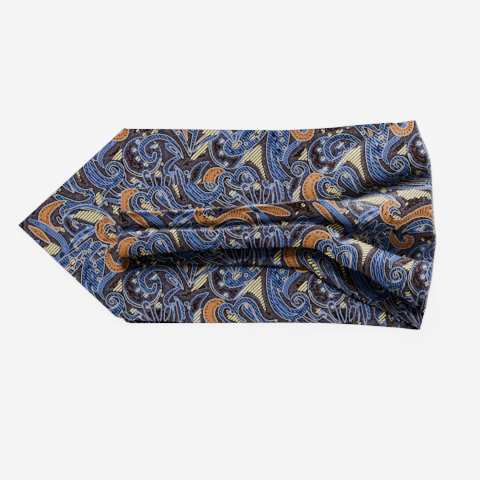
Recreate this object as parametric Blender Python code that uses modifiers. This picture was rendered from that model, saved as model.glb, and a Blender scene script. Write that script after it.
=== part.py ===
"""A silk day cravat, folded and laid flat.

The two pointed blades lie on the surface, one on the other, with their points to the left. At the
right both halves fold back over the blades: a fan of three soft rolls narrows to the neckband,
which has two knife pleats and ends at the left in the fold at the centre back of the neck.
Sizes in the tables are millimetres: X along the cravat, Y across it, Z up from the surface.
"""

import bmesh
import bpy
import numpy as np

MM = 0.001

# Cloth: two plies of silk and their interlining
WALL = 1.1
SEAM_GAP = 0.3
PLEAT_PITCH = 1.8
SHUT_TUCK = 1.0
OPEN_TUCK = 3.0

# Heights of the stacked layers
LOWER_BLADE_Z = WALL / 2
UPPER_BLADE_Z = LOWER_BLADE_Z + WALL + SEAM_GAP
UNDER_RUN_FLOOR = UPPER_BLADE_Z + WALL / 2 + SEAM_GAP

# Places along the cravat
NECK_FOLD_X = -82.3
NECK_AXIS_Z = 6.5
NECK_SQUEEZE = 0.85
UNDER_NOSE_LENGTH = 3.6
UNDER_NOSE_TURNS = (75.0, 50.0, 25.0)
FAN_START_X = 57.5
FAN_END_X = 152.5
UNDER_FAN_START_X = 46.0
UNDER_FAN_END_X = 149.0
TURN_BLEND_X = 105.0
LOWER_SEAM_X = 133.0
UPPER_SEAM_X = 129.0

# Blade outlines, from the point to the right-hand fold
# (columns: x, top y, bottom y)
UPPER_BLADE = (
    (-165.0, 0.0, -0.8),
    (-118.9, 42.2, -44.2),
    (-87.9, 70.7, -73.2),
    (-81.4, 76.7, -74.6),
    (-77.5, 76.1, -75.1),
    (-41.0, 75.8, -76.4),
    (-34.8, 75.8, -77.2),
    (42.6, 74.9, -77.4),
    (78.9, 76.7, -78.1),
    (103.4, 79.2, -79.4),
    (UPPER_SEAM_X, 81.1, -81.3),
)
LOWER_BLADE = (
    (-160.0, -1.1, -1.9),
    (-82.7, 71.7, -74.5),
    (-79.5, 74.5, -77.5),
    (-75.5, 74.6, -78.1),
    (-41.5, 74.5, -78.1),
    (42.6, 73.9, -77.8),
    (78.9, 75.5, -78.0),
    (103.4, 78.0, -79.3),
    (LOWER_SEAM_X, 80.8, -81.6),
)

# The upper run, from the neck fold to the right-hand fold: the top and bottom edges, the two
# pleats (edge seen from above, how far each tucks back under it, height at its foot) and the
# crests of the three strips between. A tuck below zero is an open trough of that width.
UPPER_RUN_COLUMNS = (
    "x", "top_y", "top_z", "roll1_z", "fold1_y", "tuck1", "foot1_z", "roll2_z",
    "fold2_y", "tuck2", "foot2_z", "roll3_z", "bottom_y", "bottom_z",
)  # fmt: skip
UPPER_RUN = (
    (-86.0, 27.5, 7.0, 7.3, 11.0, 7.0, 7.25, 10.9, -8.0, 7.0, 7.25, 10.9, -25.5, 7.3),
    (-70.0, 29.0, 7.0, 7.3, 11.0, 7.0, 7.25, 10.9, -5.7, 7.0, 7.25, 10.9, -24.1, 7.3),
    (-37.0, 31.6, 7.0, 7.3, 11.3, 7.0, 7.25, 10.9, -4.4, 7.0, 7.25, 10.9, -21.1, 7.3),
    (-5.5, 33.8, 7.0, 7.3, 13.6, 7.0, 7.25, 10.9, -3.9, 7.0, 7.25, 10.9, -19.2, 7.3),
    (37.0, 35.4, 7.0, 7.3, 16.6, 7.0, 7.25, 10.9, -1.0, 7.0, 7.25, 10.9, -17.6, 7.3),
    (57.5, 37.7, 7.0, 7.6, 18.8, 6.0, 7.25, 11.1, -0.2, 7.0, 7.25, 11.0, -17.2, 7.4),
    (70.0, 41.7, 6.4, 8.5, 19.9, 4.5, 7.30, 11.5, -0.6, 7.0, 7.25, 11.2, -18.8, 7.8),
    (81.5, 50.0, 5.2, 10.0, 20.2, 2.0, 7.50, 12.5, -3.6, 7.0, 7.25, 11.8, -25.2, 8.7),
    (93.0, 59.4, 4.2, 11.5, 21.9, -1.0, 7.80, 13.8, -10.0, 7.0, 7.20, 12.5, -32.6, 9.6),
    (105.0, 65.0, 3.9, 12.5, 25.9, -4.0, 8.00, 15.0, -13.8, 6.0, 7.20, 13.2, -36.9, 10.0),
    (119.0, 71.3, 3.7, 13.5, 31.8, -7.0, 8.50, 16.0, -19.6, 4.0, 7.20, 13.6, -45.9, 10.2),
    (133.5, 78.0, 3.6, 14.0, 38.1, -9.0, 9.50, 16.5, -25.9, 1.0, 7.50, 13.4, -55.1, 9.6),
    (152.5, 82.3, 3.6, 13.0, 41.7, -10.0, 10.50, 15.5, -31.0, -4.0, 9.50, 12.0, -65.0, 8.6),
)

# The under run: its hidden layers are one rounded solid in the neckband, which thins to the
# single wall of the lobe that shows at lower right. Heights are of its upper face.
UNDER_RUN_COLUMNS = (
    "x", "top_y", "plain_z", "valley_y", "valley_z", "ridge_y", "ridge_z",
    "bottom_y", "edge_z", "depth",
)  # fmt: skip
UNDER_RUN = (
    (-86.0, 24.5, 6.15, -17.0, 6.15, -21.0, 6.0, -24.7, 5.6, 3.4),
    (-68.0, 25.5, 6.40, -18.0, 6.40, -23.0, 6.2, -27.5, 5.6, 3.6),
    (-28.0, 27.0, 6.40, -19.0, 6.40, -26.0, 6.2, -31.0, 5.6, 3.6),
    (20.0, 30.0, 6.40, -18.0, 6.30, -26.0, 6.2, -31.5, 5.6, 3.6),
    (46.0, 31.5, 6.40, -18.0, 6.20, -27.0, 6.3, -32.9, 5.4, 3.4),
    (61.0, 33.5, 6.30, -20.0, 5.80, -28.0, 6.2, -33.8, 5.0, 2.8),
    (75.0, 38.0, 6.00, -27.0, 5.00, -36.0, 6.4, -42.9, 4.4, 2.0),
    (85.0, 43.0, 5.60, -32.0, 4.60, -42.0, 6.8, -48.7, 4.1, 1.4),
    (95.0, 47.5, 5.20, -38.0, 4.40, -47.5, 7.2, -54.4, 4.0, 1.1),
    (114.0, 55.5, 5.20, -49.0, 4.40, -57.5, 8.0, -63.5, 4.0, 1.1),
    (133.0, 61.0, 5.60, -57.0, 5.00, -67.0, 8.6, -72.9, 4.1, 1.1),
    (149.0, 65.0, 6.50, -63.0, 6.20, -73.5, 8.6, -82.0, 4.7, 1.1),
)

# The right-hand fold as seen from above (columns: y, x)
RIGHT_EDGE = (
    (-83.1, 152.6),
    (-77.6, 154.0),
    (-70.3, 155.9),
    (-66.6, 157.1),
    (-55.5, 158.9),
    (-44.8, 161.3),
    (-25.5, 163.8),
    (-12.0, 165.3),
    (1.4, 163.8),
    (18.0, 162.6),
    (36.0, 162.0),
    (49.6, 160.8),
    (62.8, 156.5),
    (71.3, 152.9),
    (82.2, 149.2),
)
UPPER_EDGE_DRIFT = 3.8
DRIFT_FROM_Y = -40.0
INNER_TURN_SETBACK = 8.2
UNDER_EDGE_DRIFT = 0.6
INNER_TURN_SHOWS_Y = (-77.0, -69.0)

# How finely the solids are divided
NECKBAND_STATIONS = 11
FAN_STATIONS = 15
UNDER_BAND_STATIONS = 8
UNDER_LOBE_STATIONS = 13
TURN_STEPS = 7
FLAT_STEPS = 2
NOSE_STEPS = 3
UPPER_RUN_LINES = 44
UNDER_RUN_LINES = 15
BLADE_LINES = 6
BLADE_STATION_LENGTH = 16.0
EDGE_LAYERS = 3
LAYER_BULGE = 0.35

SILK = {
    "lower_blade": (0.09, 0.11, 0.22, 1.0),
    "upper_blade": (0.11, 0.13, 0.26, 1.0),
    "under_run": (0.10, 0.10, 0.20, 1.0),
    "upper_run": (0.13, 0.15, 0.30, 1.0),
}
SILK_ROUGHNESS = 0.45


def smooth(value):
    value = np.clip(value, 0.0, 1.0)
    return value * value * (3.0 - 2.0 * value)


def mix(a, b, share):
    return a + (b - a) * share


def through(known, values, wanted):
    """A smooth curve through a table's rows that never swings past them."""
    known = np.asarray(known, float)
    values = np.asarray(values, float)
    steps = np.diff(known)
    slopes = np.diff(values) / steps
    product = slopes[:-1] * slopes[1:]
    total = np.where(product > 0, slopes[:-1] + slopes[1:], 1.0)
    inner = np.where(product > 0, 2.0 * product / total, 0.0)
    tangents = np.concatenate([slopes[:1], inner, slopes[-1:]])
    i = np.clip(np.searchsorted(known, wanted) - 1, 0, len(steps) - 1)
    t = np.clip((wanted - known[i]) / steps[i], 0.0, 1.0)
    start = (1 + 2 * t) * (1 - t) ** 2 * values[i] + t * (1 - t) ** 2 * steps[i] * tangents[i]
    end = t * t * (3 - 2 * t) * values[i + 1] + t * t * (t - 1) * steps[i] * tangents[i + 1]
    return start + end


def read_table(columns, rows, stations):
    """The table's columns, by name, at each station."""
    data = np.array(rows, float).T
    return {name: through(data[0], data[i], stations) for i, name in enumerate(columns)}


def right_edge(y):
    ys, xs = np.array(RIGHT_EDGE, float).T
    return through(ys, xs, y)


def soft_curve(controls, count):
    """Points along the cubic B-spline of each station's controls, which start and end it."""
    controls = np.stack(controls)
    ends = [controls[:1]] * 2
    padded = np.concatenate(ends + [controls] + [controls[-1:]] * 2)
    place = np.linspace(0.0, len(padded) - 3.0, count)
    i = np.minimum(place.astype(int), len(padded) - 4)
    t = (place - i)[:, None, None]
    a, b, c, d = (padded[i + k] for k in range(4))
    total = (1 - t) ** 3 * a + (3 * t**3 - 6 * t * t + 4) * b
    total = total + (-3 * t**3 + 3 * t * t + 3 * t + 1) * c + t**3 * d
    return total / 6.0


def point(y, z):
    return np.stack([y + 0.0 * z, z + 0.0 * y], axis=-1)


def closedness(tuck):
    """1 where a pleat is folded shut, 0 where it has opened into a trough."""
    return smooth((tuck + OPEN_TUCK) / (SHUT_TUCK + OPEN_TUCK))


def knife_pleat(fold_y, tuck, foot_z, roll_before, roll_after):
    """Controls of one pleat: the hidden fold, then the fold seen from above, over it."""
    closed = closedness(tuck)
    lead = np.minimum(PLEAT_PITCH, tuck / 2)
    hidden_y = fold_y - tuck
    low_z = foot_z + PLEAT_PITCH * closed
    high_z = foot_z + 2 * PLEAT_PITCH * closed
    rise = (1 - closed) * (roll_after - foot_z)
    fall = (1 - closed) * (roll_before - foot_z)
    return [
        point(hidden_y + PLEAT_PITCH, foot_z + 0.15 * fall),
        point(hidden_y, foot_z),
        point(hidden_y, low_z),
        point(hidden_y + lead, low_z),
        point(fold_y - lead, low_z),
        point(fold_y, low_z + 0.10 * rise),
        point(fold_y, high_z + 0.25 * rise),
        point(fold_y - PLEAT_PITCH, high_z + 0.45 * rise),
    ]


def upper_run_sections(stations, lines):
    """Mid-wall points (line, station, yz) of the upper run, from its top to its bottom edge."""
    row = read_table(UPPER_RUN_COLUMNS, UPPER_RUN, stations)
    top_y, fold1_y, fold2_y, bottom_y = (row[k] for k in ("top_y", "fold1_y", "fold2_y", "bottom_y"))
    roll1, roll2, roll3 = row["roll1_z"], row["roll2_z"], row["roll3_z"]
    foot1, foot2 = row["foot1_z"], row["foot2_z"]
    open1 = 1 - closedness(row["tuck1"])
    open2 = 1 - closedness(row["tuck2"])
    strip1 = [
        point(top_y, row["top_z"]),
        point(mix(top_y, fold1_y, 0.13), mix(row["top_z"], roll1, 0.55)),
        point(mix(top_y, fold1_y, 0.40), roll1),
        point(mix(top_y, fold1_y, 0.70), mix(roll1, foot1, 0.45)),
    ]
    strip2_end = fold2_y + open2 * (PLEAT_PITCH - row["tuck2"])
    strip2 = [
        point(mix(fold1_y, strip2_end, 0.25), roll2 - 0.25 * open1 * (roll2 - foot1)),
        point(mix(fold1_y, strip2_end, 0.55), roll2),
        point(mix(fold1_y, strip2_end, 0.88), foot2 + 0.45 * open2 * (roll2 - foot2)),
        point(mix(fold1_y, strip2_end, 0.98), foot2 + 0.20 * open2 * (roll2 - foot2)),
    ]
    strip3 = [
        point(mix(fold2_y, bottom_y, 0.28), roll3),
        point(mix(fold2_y, bottom_y, 0.62), roll3),
        point(mix(fold2_y, bottom_y, 0.88), mix(roll3, row["bottom_z"], 0.55)),
        point(bottom_y, row["bottom_z"]),
    ]
    pleat1 = knife_pleat(fold1_y, row["tuck1"], foot1, roll1, roll2)
    pleat2 = knife_pleat(fold2_y, row["tuck2"], foot2, roll2, roll3)
    return soft_curve(strip1 + pleat1 + strip2 + pleat2 + strip3, lines)


def round_the_fold(end, centre_x, radius, low_z, sweep_y, seam_x, seam_y):
    """Rows of points that carry a run's last row round the right-hand fold and back to a seam."""
    rows = []
    for angle in np.linspace(90.0, -90.0, TURN_STEPS + 1)[1:]:
        across = np.cos(np.radians(angle))
        up = np.sin(np.radians(angle))
        x = centre_x + radius * across
        y = end[:, 1] + sweep_y * (1 - up)
        z = low_z + radius * (1 + up)
        rows.append(np.stack([x, y, z], axis=-1))
    last = rows[-1]
    for share in np.linspace(0.0, 1.0, FLAT_STEPS + 1)[1:]:
        x = mix(last[:, 0], seam_x, share)
        y = mix(last[:, 1], seam_y, smooth(share))
        rows.append(np.stack([x, y, last[:, 2]], axis=-1))
    return rows


def blade_edges(rows, x):
    table = np.array(rows, float).T
    return np.interp(x, table[0], table[1]), np.interp(x, table[0], table[2])


def spread_over(rows, x, end):
    """The place across a blade, at x, of each point of a run's last row."""
    top, bottom = blade_edges(rows, x)
    share = (end[:, 1] - end[0, 1]) / (end[-1, 1] - end[0, 1])
    return mix(top, bottom, np.clip(share, 0.0, 1.0))


def upper_run_grid():
    """Mid-wall points (row, line, xyz) of the upper run, from the neck fold to the lower seam."""
    neckband = np.linspace(NECK_FOLD_X, FAN_START_X, NECKBAND_STATIONS)
    fan = np.linspace(FAN_START_X, FAN_END_X, FAN_STATIONS + 1)[1:]
    stations = np.concatenate([neckband, fan])
    sections = upper_run_sections(stations, UPPER_RUN_LINES)
    last = sections[:, -1]
    radius = (last[:, 1] - LOWER_BLADE_Z) / 2
    sweep = -UPPER_EDGE_DRIFT * smooth((DRIFT_FROM_Y - last[:, 0]) / 25.0)
    centre_x = right_edge(last[:, 0] + sweep) - WALL / 2 - radius
    rows = []
    first = sections[:, 0]
    for turn in np.linspace(90.0, 0.0, NOSE_STEPS + 1)[:-1]:
        height = first[:, 1] - NECK_AXIS_Z
        x = NECK_FOLD_X - NECK_SQUEEZE * height * np.sin(np.radians(turn))
        z = NECK_AXIS_Z + height * np.cos(np.radians(turn))
        rows.append(np.stack([x, first[:, 0], z], axis=-1))
    for i, station in enumerate(stations):
        reach = smooth((station - TURN_BLEND_X) / (FAN_END_X - TURN_BLEND_X))
        x = station + reach * (centre_x - FAN_END_X)
        rows.append(np.stack([x, sections[:, i, 0], sections[:, i, 1]], axis=-1))
    end = rows[-1]
    seam_x = LOWER_SEAM_X + 1.5 * SEAM_GAP
    seam_y = spread_over(LOWER_BLADE, LOWER_SEAM_X, end)
    rows += round_the_fold(end, centre_x, radius, LOWER_BLADE_Z, sweep, seam_x, seam_y)
    return np.array(rows)


def grid_normals(grid):
    along = np.gradient(grid, axis=0)
    across = np.gradient(grid, axis=1)
    normal = np.cross(across, along)
    return normal / np.linalg.norm(normal, axis=-1, keepdims=True)


def under_run_faces():
    """Outer and inner points (row, line, xyz) of the under run, from the neck to the upper seam."""
    band = np.linspace(NECK_FOLD_X, UNDER_FAN_START_X, UNDER_BAND_STATIONS)
    lobe = np.linspace(UNDER_FAN_START_X, UNDER_FAN_END_X, UNDER_LOBE_STATIONS + 1)[1:]
    stations = np.concatenate([band, lobe])
    row = read_table(UNDER_RUN_COLUMNS, UNDER_RUN, stations)
    controls = [
        point(row["top_y"], np.minimum(row["plain_z"], row["edge_z"])),
        point(row["top_y"] - 4.0, row["plain_z"]),
        point(mix(row["top_y"], row["valley_y"], 0.4), row["plain_z"]),
        point(mix(row["top_y"], row["valley_y"], 0.8), row["plain_z"]),
        point(row["valley_y"], row["valley_z"]),
        point(mix(row["valley_y"], row["ridge_y"], 0.7), row["ridge_z"]),
        point(mix(row["ridge_y"], row["bottom_y"], 0.3), row["ridge_z"]),
        point(mix(row["ridge_y"], row["bottom_y"], 0.85), mix(row["ridge_z"], row["edge_z"], 0.6)),
        point(row["bottom_y"], row["edge_z"]),
    ]
    sections = soft_curve(controls, UNDER_RUN_LINES)
    last = sections[:, -1]
    radius = (last[:, 1] - (WALL + SEAM_GAP)) / 2
    shows = 1 - smooth(
        (last[:, 0] - INNER_TURN_SHOWS_Y[0]) / (INNER_TURN_SHOWS_Y[1] - INNER_TURN_SHOWS_Y[0])
    )
    sweep = -UNDER_EDGE_DRIFT * shows
    centre_x = right_edge(last[:, 0] + sweep) - mix(INNER_TURN_SETBACK, radius, shows)
    rows = []
    for i, station in enumerate(stations):
        reach = smooth((station - TURN_BLEND_X) / (UNDER_FAN_END_X - TURN_BLEND_X))
        x = station + reach * (centre_x - UNDER_FAN_END_X)
        rows.append(np.stack([x, sections[:, i, 0], sections[:, i, 1]], axis=-1))
    flat_rows = len(rows)
    end = rows[-1]
    seam_x = UPPER_SEAM_X + SEAM_GAP
    seam_y = spread_over(UPPER_BLADE, UPPER_SEAM_X, end)
    rows += round_the_fold(end, centre_x, radius, WALL + SEAM_GAP, sweep, seam_x, seam_y)
    outer = np.array(rows)
    depth = np.full(len(outer), WALL)
    depth[:flat_rows] = row["depth"]
    inner = outer - grid_normals(outer) * depth[:, None, None]
    flat = inner[:flat_rows]
    flat[..., 2] = np.maximum(flat[..., 2], UNDER_RUN_FLOOR)
    return outer, inner


def under_run_nose(outer, inner):
    """Rows that round off the under run below the neck fold."""
    outer_rows = []
    inner_rows = []
    for turn in UNDER_NOSE_TURNS:
        forward = UNDER_NOSE_LENGTH * np.sin(np.radians(turn))
        thinner = np.cos(np.radians(turn))
        upper = outer[0] - np.array([forward, 0.0, 0.0])
        lower = upper.copy()
        lower[:, 2] = upper[:, 2] - (outer[0, :, 2] - inner[0, :, 2]) * thinner
        outer_rows.append(upper)
        inner_rows.append(lower)
    return np.array(outer_rows), np.array(inner_rows)


def silk_material(name):
    silk = bpy.data.materials.new("silk_" + name)
    silk.use_nodes = True
    shader = silk.node_tree.nodes["Principled BSDF"]
    shader.inputs["Base Color"].default_value = SILK[name]
    shader.inputs["Roughness"].default_value = SILK_ROUGHNESS
    shader.inputs["Metallic"].default_value = 0.0
    silk.diffuse_color = SILK[name]
    return silk


def sheet_of_cloth(name, grid, collection):
    """A wall of cloth round the grid of its mid-wall points."""
    rows, lines = grid.shape[:2]
    cloth = bmesh.new()
    bmesh.ops.create_grid(cloth, x_segments=lines - 1, y_segments=rows - 1, size=1.0)
    cloth.verts.ensure_lookup_table()
    for i, vertex in enumerate(cloth.verts):
        vertex.co = grid[i // lines, i % lines] * MM
    mesh = bpy.data.meshes.new(name)
    cloth.to_mesh(mesh)
    cloth.free()
    mesh.materials.append(silk_material(name))
    sheet = bpy.data.objects.new(name, mesh)
    collection.objects.link(sheet)
    wall = sheet.modifiers.new("wall", "SOLIDIFY")
    wall.thickness = WALL * MM
    wall.offset = 0.0
    return sheet


def blade(name, outline, height, collection):
    """A flat pointed blade."""
    table = np.array(outline, float).T
    pieces = [
        np.linspace(a, b, max(1, int((b - a) / BLADE_STATION_LENGTH)) + 1)[:-1]
        for a, b in zip(table[0], table[0][1:])
    ]
    stations = np.concatenate(pieces + [table[0][-1:]])
    top, bottom = blade_edges(outline, stations)
    share = np.linspace(0.0, 1.0, BLADE_LINES)
    y = mix(top[:, None], bottom[:, None], share[None, :])
    x = np.repeat(stations[:, None], BLADE_LINES, axis=1)
    grid = np.stack([x, y, np.full_like(x, height)], axis=-1)
    return sheet_of_cloth(name, grid, collection)


def layered_edge(upper, lower, outward):
    """Points down a free edge that show it as several layers of cloth."""
    height = np.linalg.norm(upper - lower)
    bulge = LAYER_BULGE * min(1.0, height / (EDGE_LAYERS * WALL))
    count = 2 * EDGE_LAYERS
    points = []
    for i in range(1, count):
        out = bulge if i % 2 else -bulge
        points.append(mix(upper, lower, i / count) + outward * out)
    return points


def layered_solid(name, outer, inner, collection):
    """A closed loft between the outer and inner points, with layered free edges."""
    rows, lines = outer.shape[:2]
    rim = 2 * EDGE_LAYERS - 1
    ring_size = 2 * (lines + rim)
    rings = []
    for upper, lower in zip(outer, inner):
        far = upper[-1] - upper[-2]
        near = upper[0] - upper[1]
        ring = list(upper)
        ring += layered_edge(upper[-1], lower[-1], far / np.linalg.norm(far))
        ring += list(lower[::-1])
        ring += layered_edge(lower[0], upper[0], near / np.linalg.norm(near))
        rings.append(ring)
    points = [tuple(p * MM) for ring in rings for p in ring]
    faces = []
    for r in range(rows - 1):
        for k in range(ring_size):
            following = (k + 1) % ring_size
            here = r * ring_size
            there = here + ring_size
            faces.append((here + k, here + following, there + following, there + k))
    for start, turned in ((0, True), ((rows - 1) * ring_size, False)):
        below = [start + 2 * lines + rim - 1 - k for k in range(lines)]
        above = [start + k for k in range(lines)]
        cap = [
            (above[k], above[k + 1], below[k + 1], below[k]) for k in range(lines - 1)
        ]
        cap.append(tuple(start + lines - 1 + k for k in range(rim + 2)))
        left = [start + 2 * lines + rim - 1 + k for k in range(rim + 1)]
        cap.append(tuple(left + [start]))
        faces += [face[::-1] if turned else face for face in cap]
    mesh = bpy.data.meshes.new(name)
    mesh.from_pydata(points, [], faces)
    shape = bmesh.new()
    shape.from_mesh(mesh)
    bmesh.ops.recalc_face_normals(shape, faces=shape.faces)
    shape.to_mesh(mesh)
    shape.free()
    mesh.materials.append(silk_material(name))
    solid = bpy.data.objects.new(name, mesh)
    collection.objects.link(solid)
    return solid


def under_run(collection):
    outer, inner = under_run_faces()
    nose_outer, nose_inner = under_run_nose(outer, inner)
    outer = np.concatenate([nose_outer, outer])
    inner = np.concatenate([nose_inner, inner])
    return layered_solid("under_run", outer, inner, collection)


def clear_scene():
    for thing in list(bpy.data.objects):
        bpy.data.objects.remove(thing, do_unlink=True)


def main():
    clear_scene()
    cravat = bpy.data.collections.new("silk_cravat")
    bpy.context.scene.collection.children.link(cravat)
    blade("lower_blade", LOWER_BLADE, LOWER_BLADE_Z, cravat)
    blade("upper_blade", UPPER_BLADE, UPPER_BLADE_Z, cravat)
    under_run(cravat)
    sheet_of_cloth("upper_run", upper_run_grid(), cravat)


main()
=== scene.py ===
"""A silk day cravat, folded and laid flat: the woven paisley silk, its creases, and the stage.

Tables and lengths are millimetres, along the cravat (x), across it (y) and up (z). The cloth's own
directions are u, along the length, and v, across it, and the paisley is charted in them.
"""

from types import SimpleNamespace

import bpy
import numpy as np
from bpy.props import FloatProperty, FloatVectorProperty, PointerProperty
from bpy.types import Operator, Panel, PropertyGroup
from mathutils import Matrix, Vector


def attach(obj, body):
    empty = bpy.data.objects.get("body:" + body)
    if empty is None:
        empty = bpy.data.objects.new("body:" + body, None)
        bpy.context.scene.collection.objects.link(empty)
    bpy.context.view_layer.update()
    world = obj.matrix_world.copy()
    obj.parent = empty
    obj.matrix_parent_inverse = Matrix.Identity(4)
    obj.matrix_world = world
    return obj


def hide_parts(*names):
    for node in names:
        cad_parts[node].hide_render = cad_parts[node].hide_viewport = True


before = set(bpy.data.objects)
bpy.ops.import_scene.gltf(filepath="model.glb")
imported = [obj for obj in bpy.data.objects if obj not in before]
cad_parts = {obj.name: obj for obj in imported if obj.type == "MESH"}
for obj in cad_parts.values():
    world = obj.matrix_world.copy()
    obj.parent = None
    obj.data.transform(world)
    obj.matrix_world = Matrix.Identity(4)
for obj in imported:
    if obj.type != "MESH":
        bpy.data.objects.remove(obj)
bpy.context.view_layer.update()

bl_info = {
    "name": "Folded silk cravat",
    "version": (1, 0, 0),
    "blender": (4, 5, 0),
    "location": "3D View > Sidebar > Cravat",
    "description": "Lays out a folded paisley silk cravat as four sheets of cloth",
    "category": "Add Mesh",
}

MM = 0.001
MM_IN_METRE = 1000.0

# Cloth and folds, as in the solids that the sheets replace
SOLID_WALL = 1.1
SEAM_GAP = 0.3
LOWER_SEAM_GAP = 1.5 * SEAM_GAP
PLEAT_PITCH = 1.8
SHUT_TUCK = 1.0
OPEN_TUCK = 3.0
LOWER_BLADE_Z = SOLID_WALL / 2
UPPER_BLADE_Z = LOWER_BLADE_Z + SOLID_WALL + SEAM_GAP
UNDER_RUN_FLOOR = UPPER_BLADE_Z + SOLID_WALL / 2 + SEAM_GAP
NECK_FOLD_X = -82.3
NECK_AXIS_Z = 6.5
NECK_SQUEEZE = 0.85
UNDER_NOSE_LENGTH = 3.6
FAN_START_X = 57.5
FAN_END_X = 152.5
UNDER_FAN_START_X = 46.0
UNDER_FAN_END_X = 149.0
TURN_BLEND_X = 105.0
SLUMP_X = (75.0, 112.0)
LOWER_SEAM_X = 133.0
UPPER_SEAM_X = 129.0
UPPER_EDGE_DRIFT = 1.2
UNDER_EDGE_DRIFT = 0.6
DRIFT_FROM_Y = -40.0
DRIFT_OVER = 25.0
INNER_TURN_SETBACK = 8.2
INNER_TURN_SHOWS_Y = (-66.0, -63.6)

# Blade outlines: x, top y, bottom y
UPPER_BLADE = (
    (-165, 0, -0.8), (-118.9, 42.2, -44.2), (-87.9, 70.7, -73.2), (-81.4, 76.7, -74.6),
    (-77.5, 76.1, -75.1), (-41, 75.8, -76.4), (-34.8, 75.8, -77.2), (42.6, 74.9, -77.4),
    (78.9, 76.7, -78.1), (103.4, 79.2, -79.4), (UPPER_SEAM_X, 81.1, -81.3),
)
LOWER_BLADE = (
    (-160, -1.1, -1.9), (-82.7, 71.7, -74.5), (-79.5, 74.5, -77.5), (-75.5, 74.6, -78.1),
    (-41.5, 74.5, -78.1), (42.6, 73.9, -77.8), (78.9, 75.5, -78), (103.4, 78, -79.3),
    (LOWER_SEAM_X, 80.8, -81.6),
)

# The upper run: edges, pleats (edge seen from above, tuck under it, height at its foot), crests
UPPER_RUN_COLUMNS = (
    "x", "top_y", "top_z", "roll1_z", "fold1_y", "tuck1", "foot1_z", "roll2_z",
    "fold2_y", "tuck2", "foot2_z", "roll3_z", "bottom_y", "bottom_z",
)
UPPER_RUN = (
    (-86, 27.5, 7, 7.6, 11, 7, 7.25, 9.6, -8, 7, 7.25, 10.9, -25.5, 8.6),
    (-70, 29, 7, 7.7, 11, 7, 7.25, 9.6, -5.7, 7, 7.25, 10.9, -24.1, 9),
    (-37, 31.6, 7, 7.8, 11.3, 7, 7.25, 9.6, -4.4, 7, 7.25, 10.9, -21.1, 9.2),
    (-5.5, 33.8, 7, 7.8, 13.6, 7, 7.25, 9.6, -3.9, 7, 7.25, 10.9, -19.2, 9.2),
    (37, 35.4, 7, 7.8, 16.6, 7, 7.25, 9.6, -1, 7, 7.25, 10.9, -17.6, 9.3),
    (57.5, 37.7, 7, 8, 18.8, 6, 7.25, 9.8, -0.2, 7, 7.25, 11, -17.2, 9.4),
    (70, 41.7, 6.4, 8.6, 19.9, 4.5, 7.2, 10.8, -0.6, 7, 7.25, 11.4, -18.8, 9.8),
    (81.5, 50, 5.8, 9.2, 18.4, 2, 7.2, 12.4, -3.6, 7, 7.2, 12.8, -25.2, 11.6),
    (93, 59.4, 6.4, 11.2, 17.4, -1, 6.7, 14.4, -10, 7, 6.6, 14.6, -32.6, 13.2),
    (105, 65, 7.2, 13, 18, -4, 6.6, 15.8, -13.8, 6, 5.4, 16, -36.9, 14),
    (119, 71.3, 8.2, 14.2, 21, -7, 7, 16.8, -19.6, 4, 4.9, 16.6, -45.9, 14),
    (133.5, 78, 8.2, 14.6, 25.5, -9, 7.4, 17, -25.9, 1, 5, 16, -55.1, 12.2),
    (152.5, 82.3, 7.4, 13.8, 30, -10, 8.6, 16, -31, -2, 6.8, 13.6, -65, 8.4),
)

# The under run: heights are of its upper face, and depth is down from it
UNDER_RUN_COLUMNS = (
    "x", "top_y", "plain_z", "valley_y", "valley_z", "ridge_y", "ridge_z",
    "bottom_y", "edge_z", "depth",
)
UNDER_RUN = (
    (-86, 24.5, 6.15, -17, 6, -21, 5.4, -24.7, 4.8, 3.4),
    (-68, 25.5, 6.4, -18, 5.4, -22.5, 5, -27.5, 4, 3.6),
    (-28, 27, 6.4, -18, 5, -24, 4.8, -31, 3.8, 3.6),
    (20, 30, 6.4, -17.5, 4.9, -24, 4.7, -31.5, 3.8, 3.6),
    (46, 31.5, 6.4, -17.5, 4.8, -25, 4.9, -32.9, 3.8, 3.4),
    (61, 33.5, 6.3, -20, 4.7, -27, 5, -33.8, 3.8, 2.8),
    (75, 38, 6, -27, 4.3, -36, 4.9, -42.9, 3.8, 2),
    (85, 43, 5.2, -32, 4.1, -42, 4.9, -48.7, 3.8, 1.4),
    (95, 47.5, 4.3, -38, 3.9, -47.5, 4.9, -54.4, 3.8, 1.1),
    (114, 55.5, 3.95, -49, 3.8, -58.5, 4, -63.5, 3.5, 1.1),
    (133, 61, 4.1, -57, 4.2, -68, 4.4, -72.9, 3.6, 1.1),
    (149, 65, 5.9, -63, 5.6, -73.5, 5.6, -82, 4.4, 1.1),
)

# The right-hand fold as seen from above: y, x
RIGHT_EDGE = (
    (-83.1, 152.6), (-77.6, 154), (-70.3, 155.9), (-66.6, 157.1), (-55.5, 158.9), (-44.8, 161.3),
    (-25.5, 163.8), (-12, 165.3), (1.4, 163.8), (18, 162.6), (36, 162), (49.6, 160.8),
    (62.8, 156.5), (71.3, 152.9), (82.2, 149.2),
)

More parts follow.
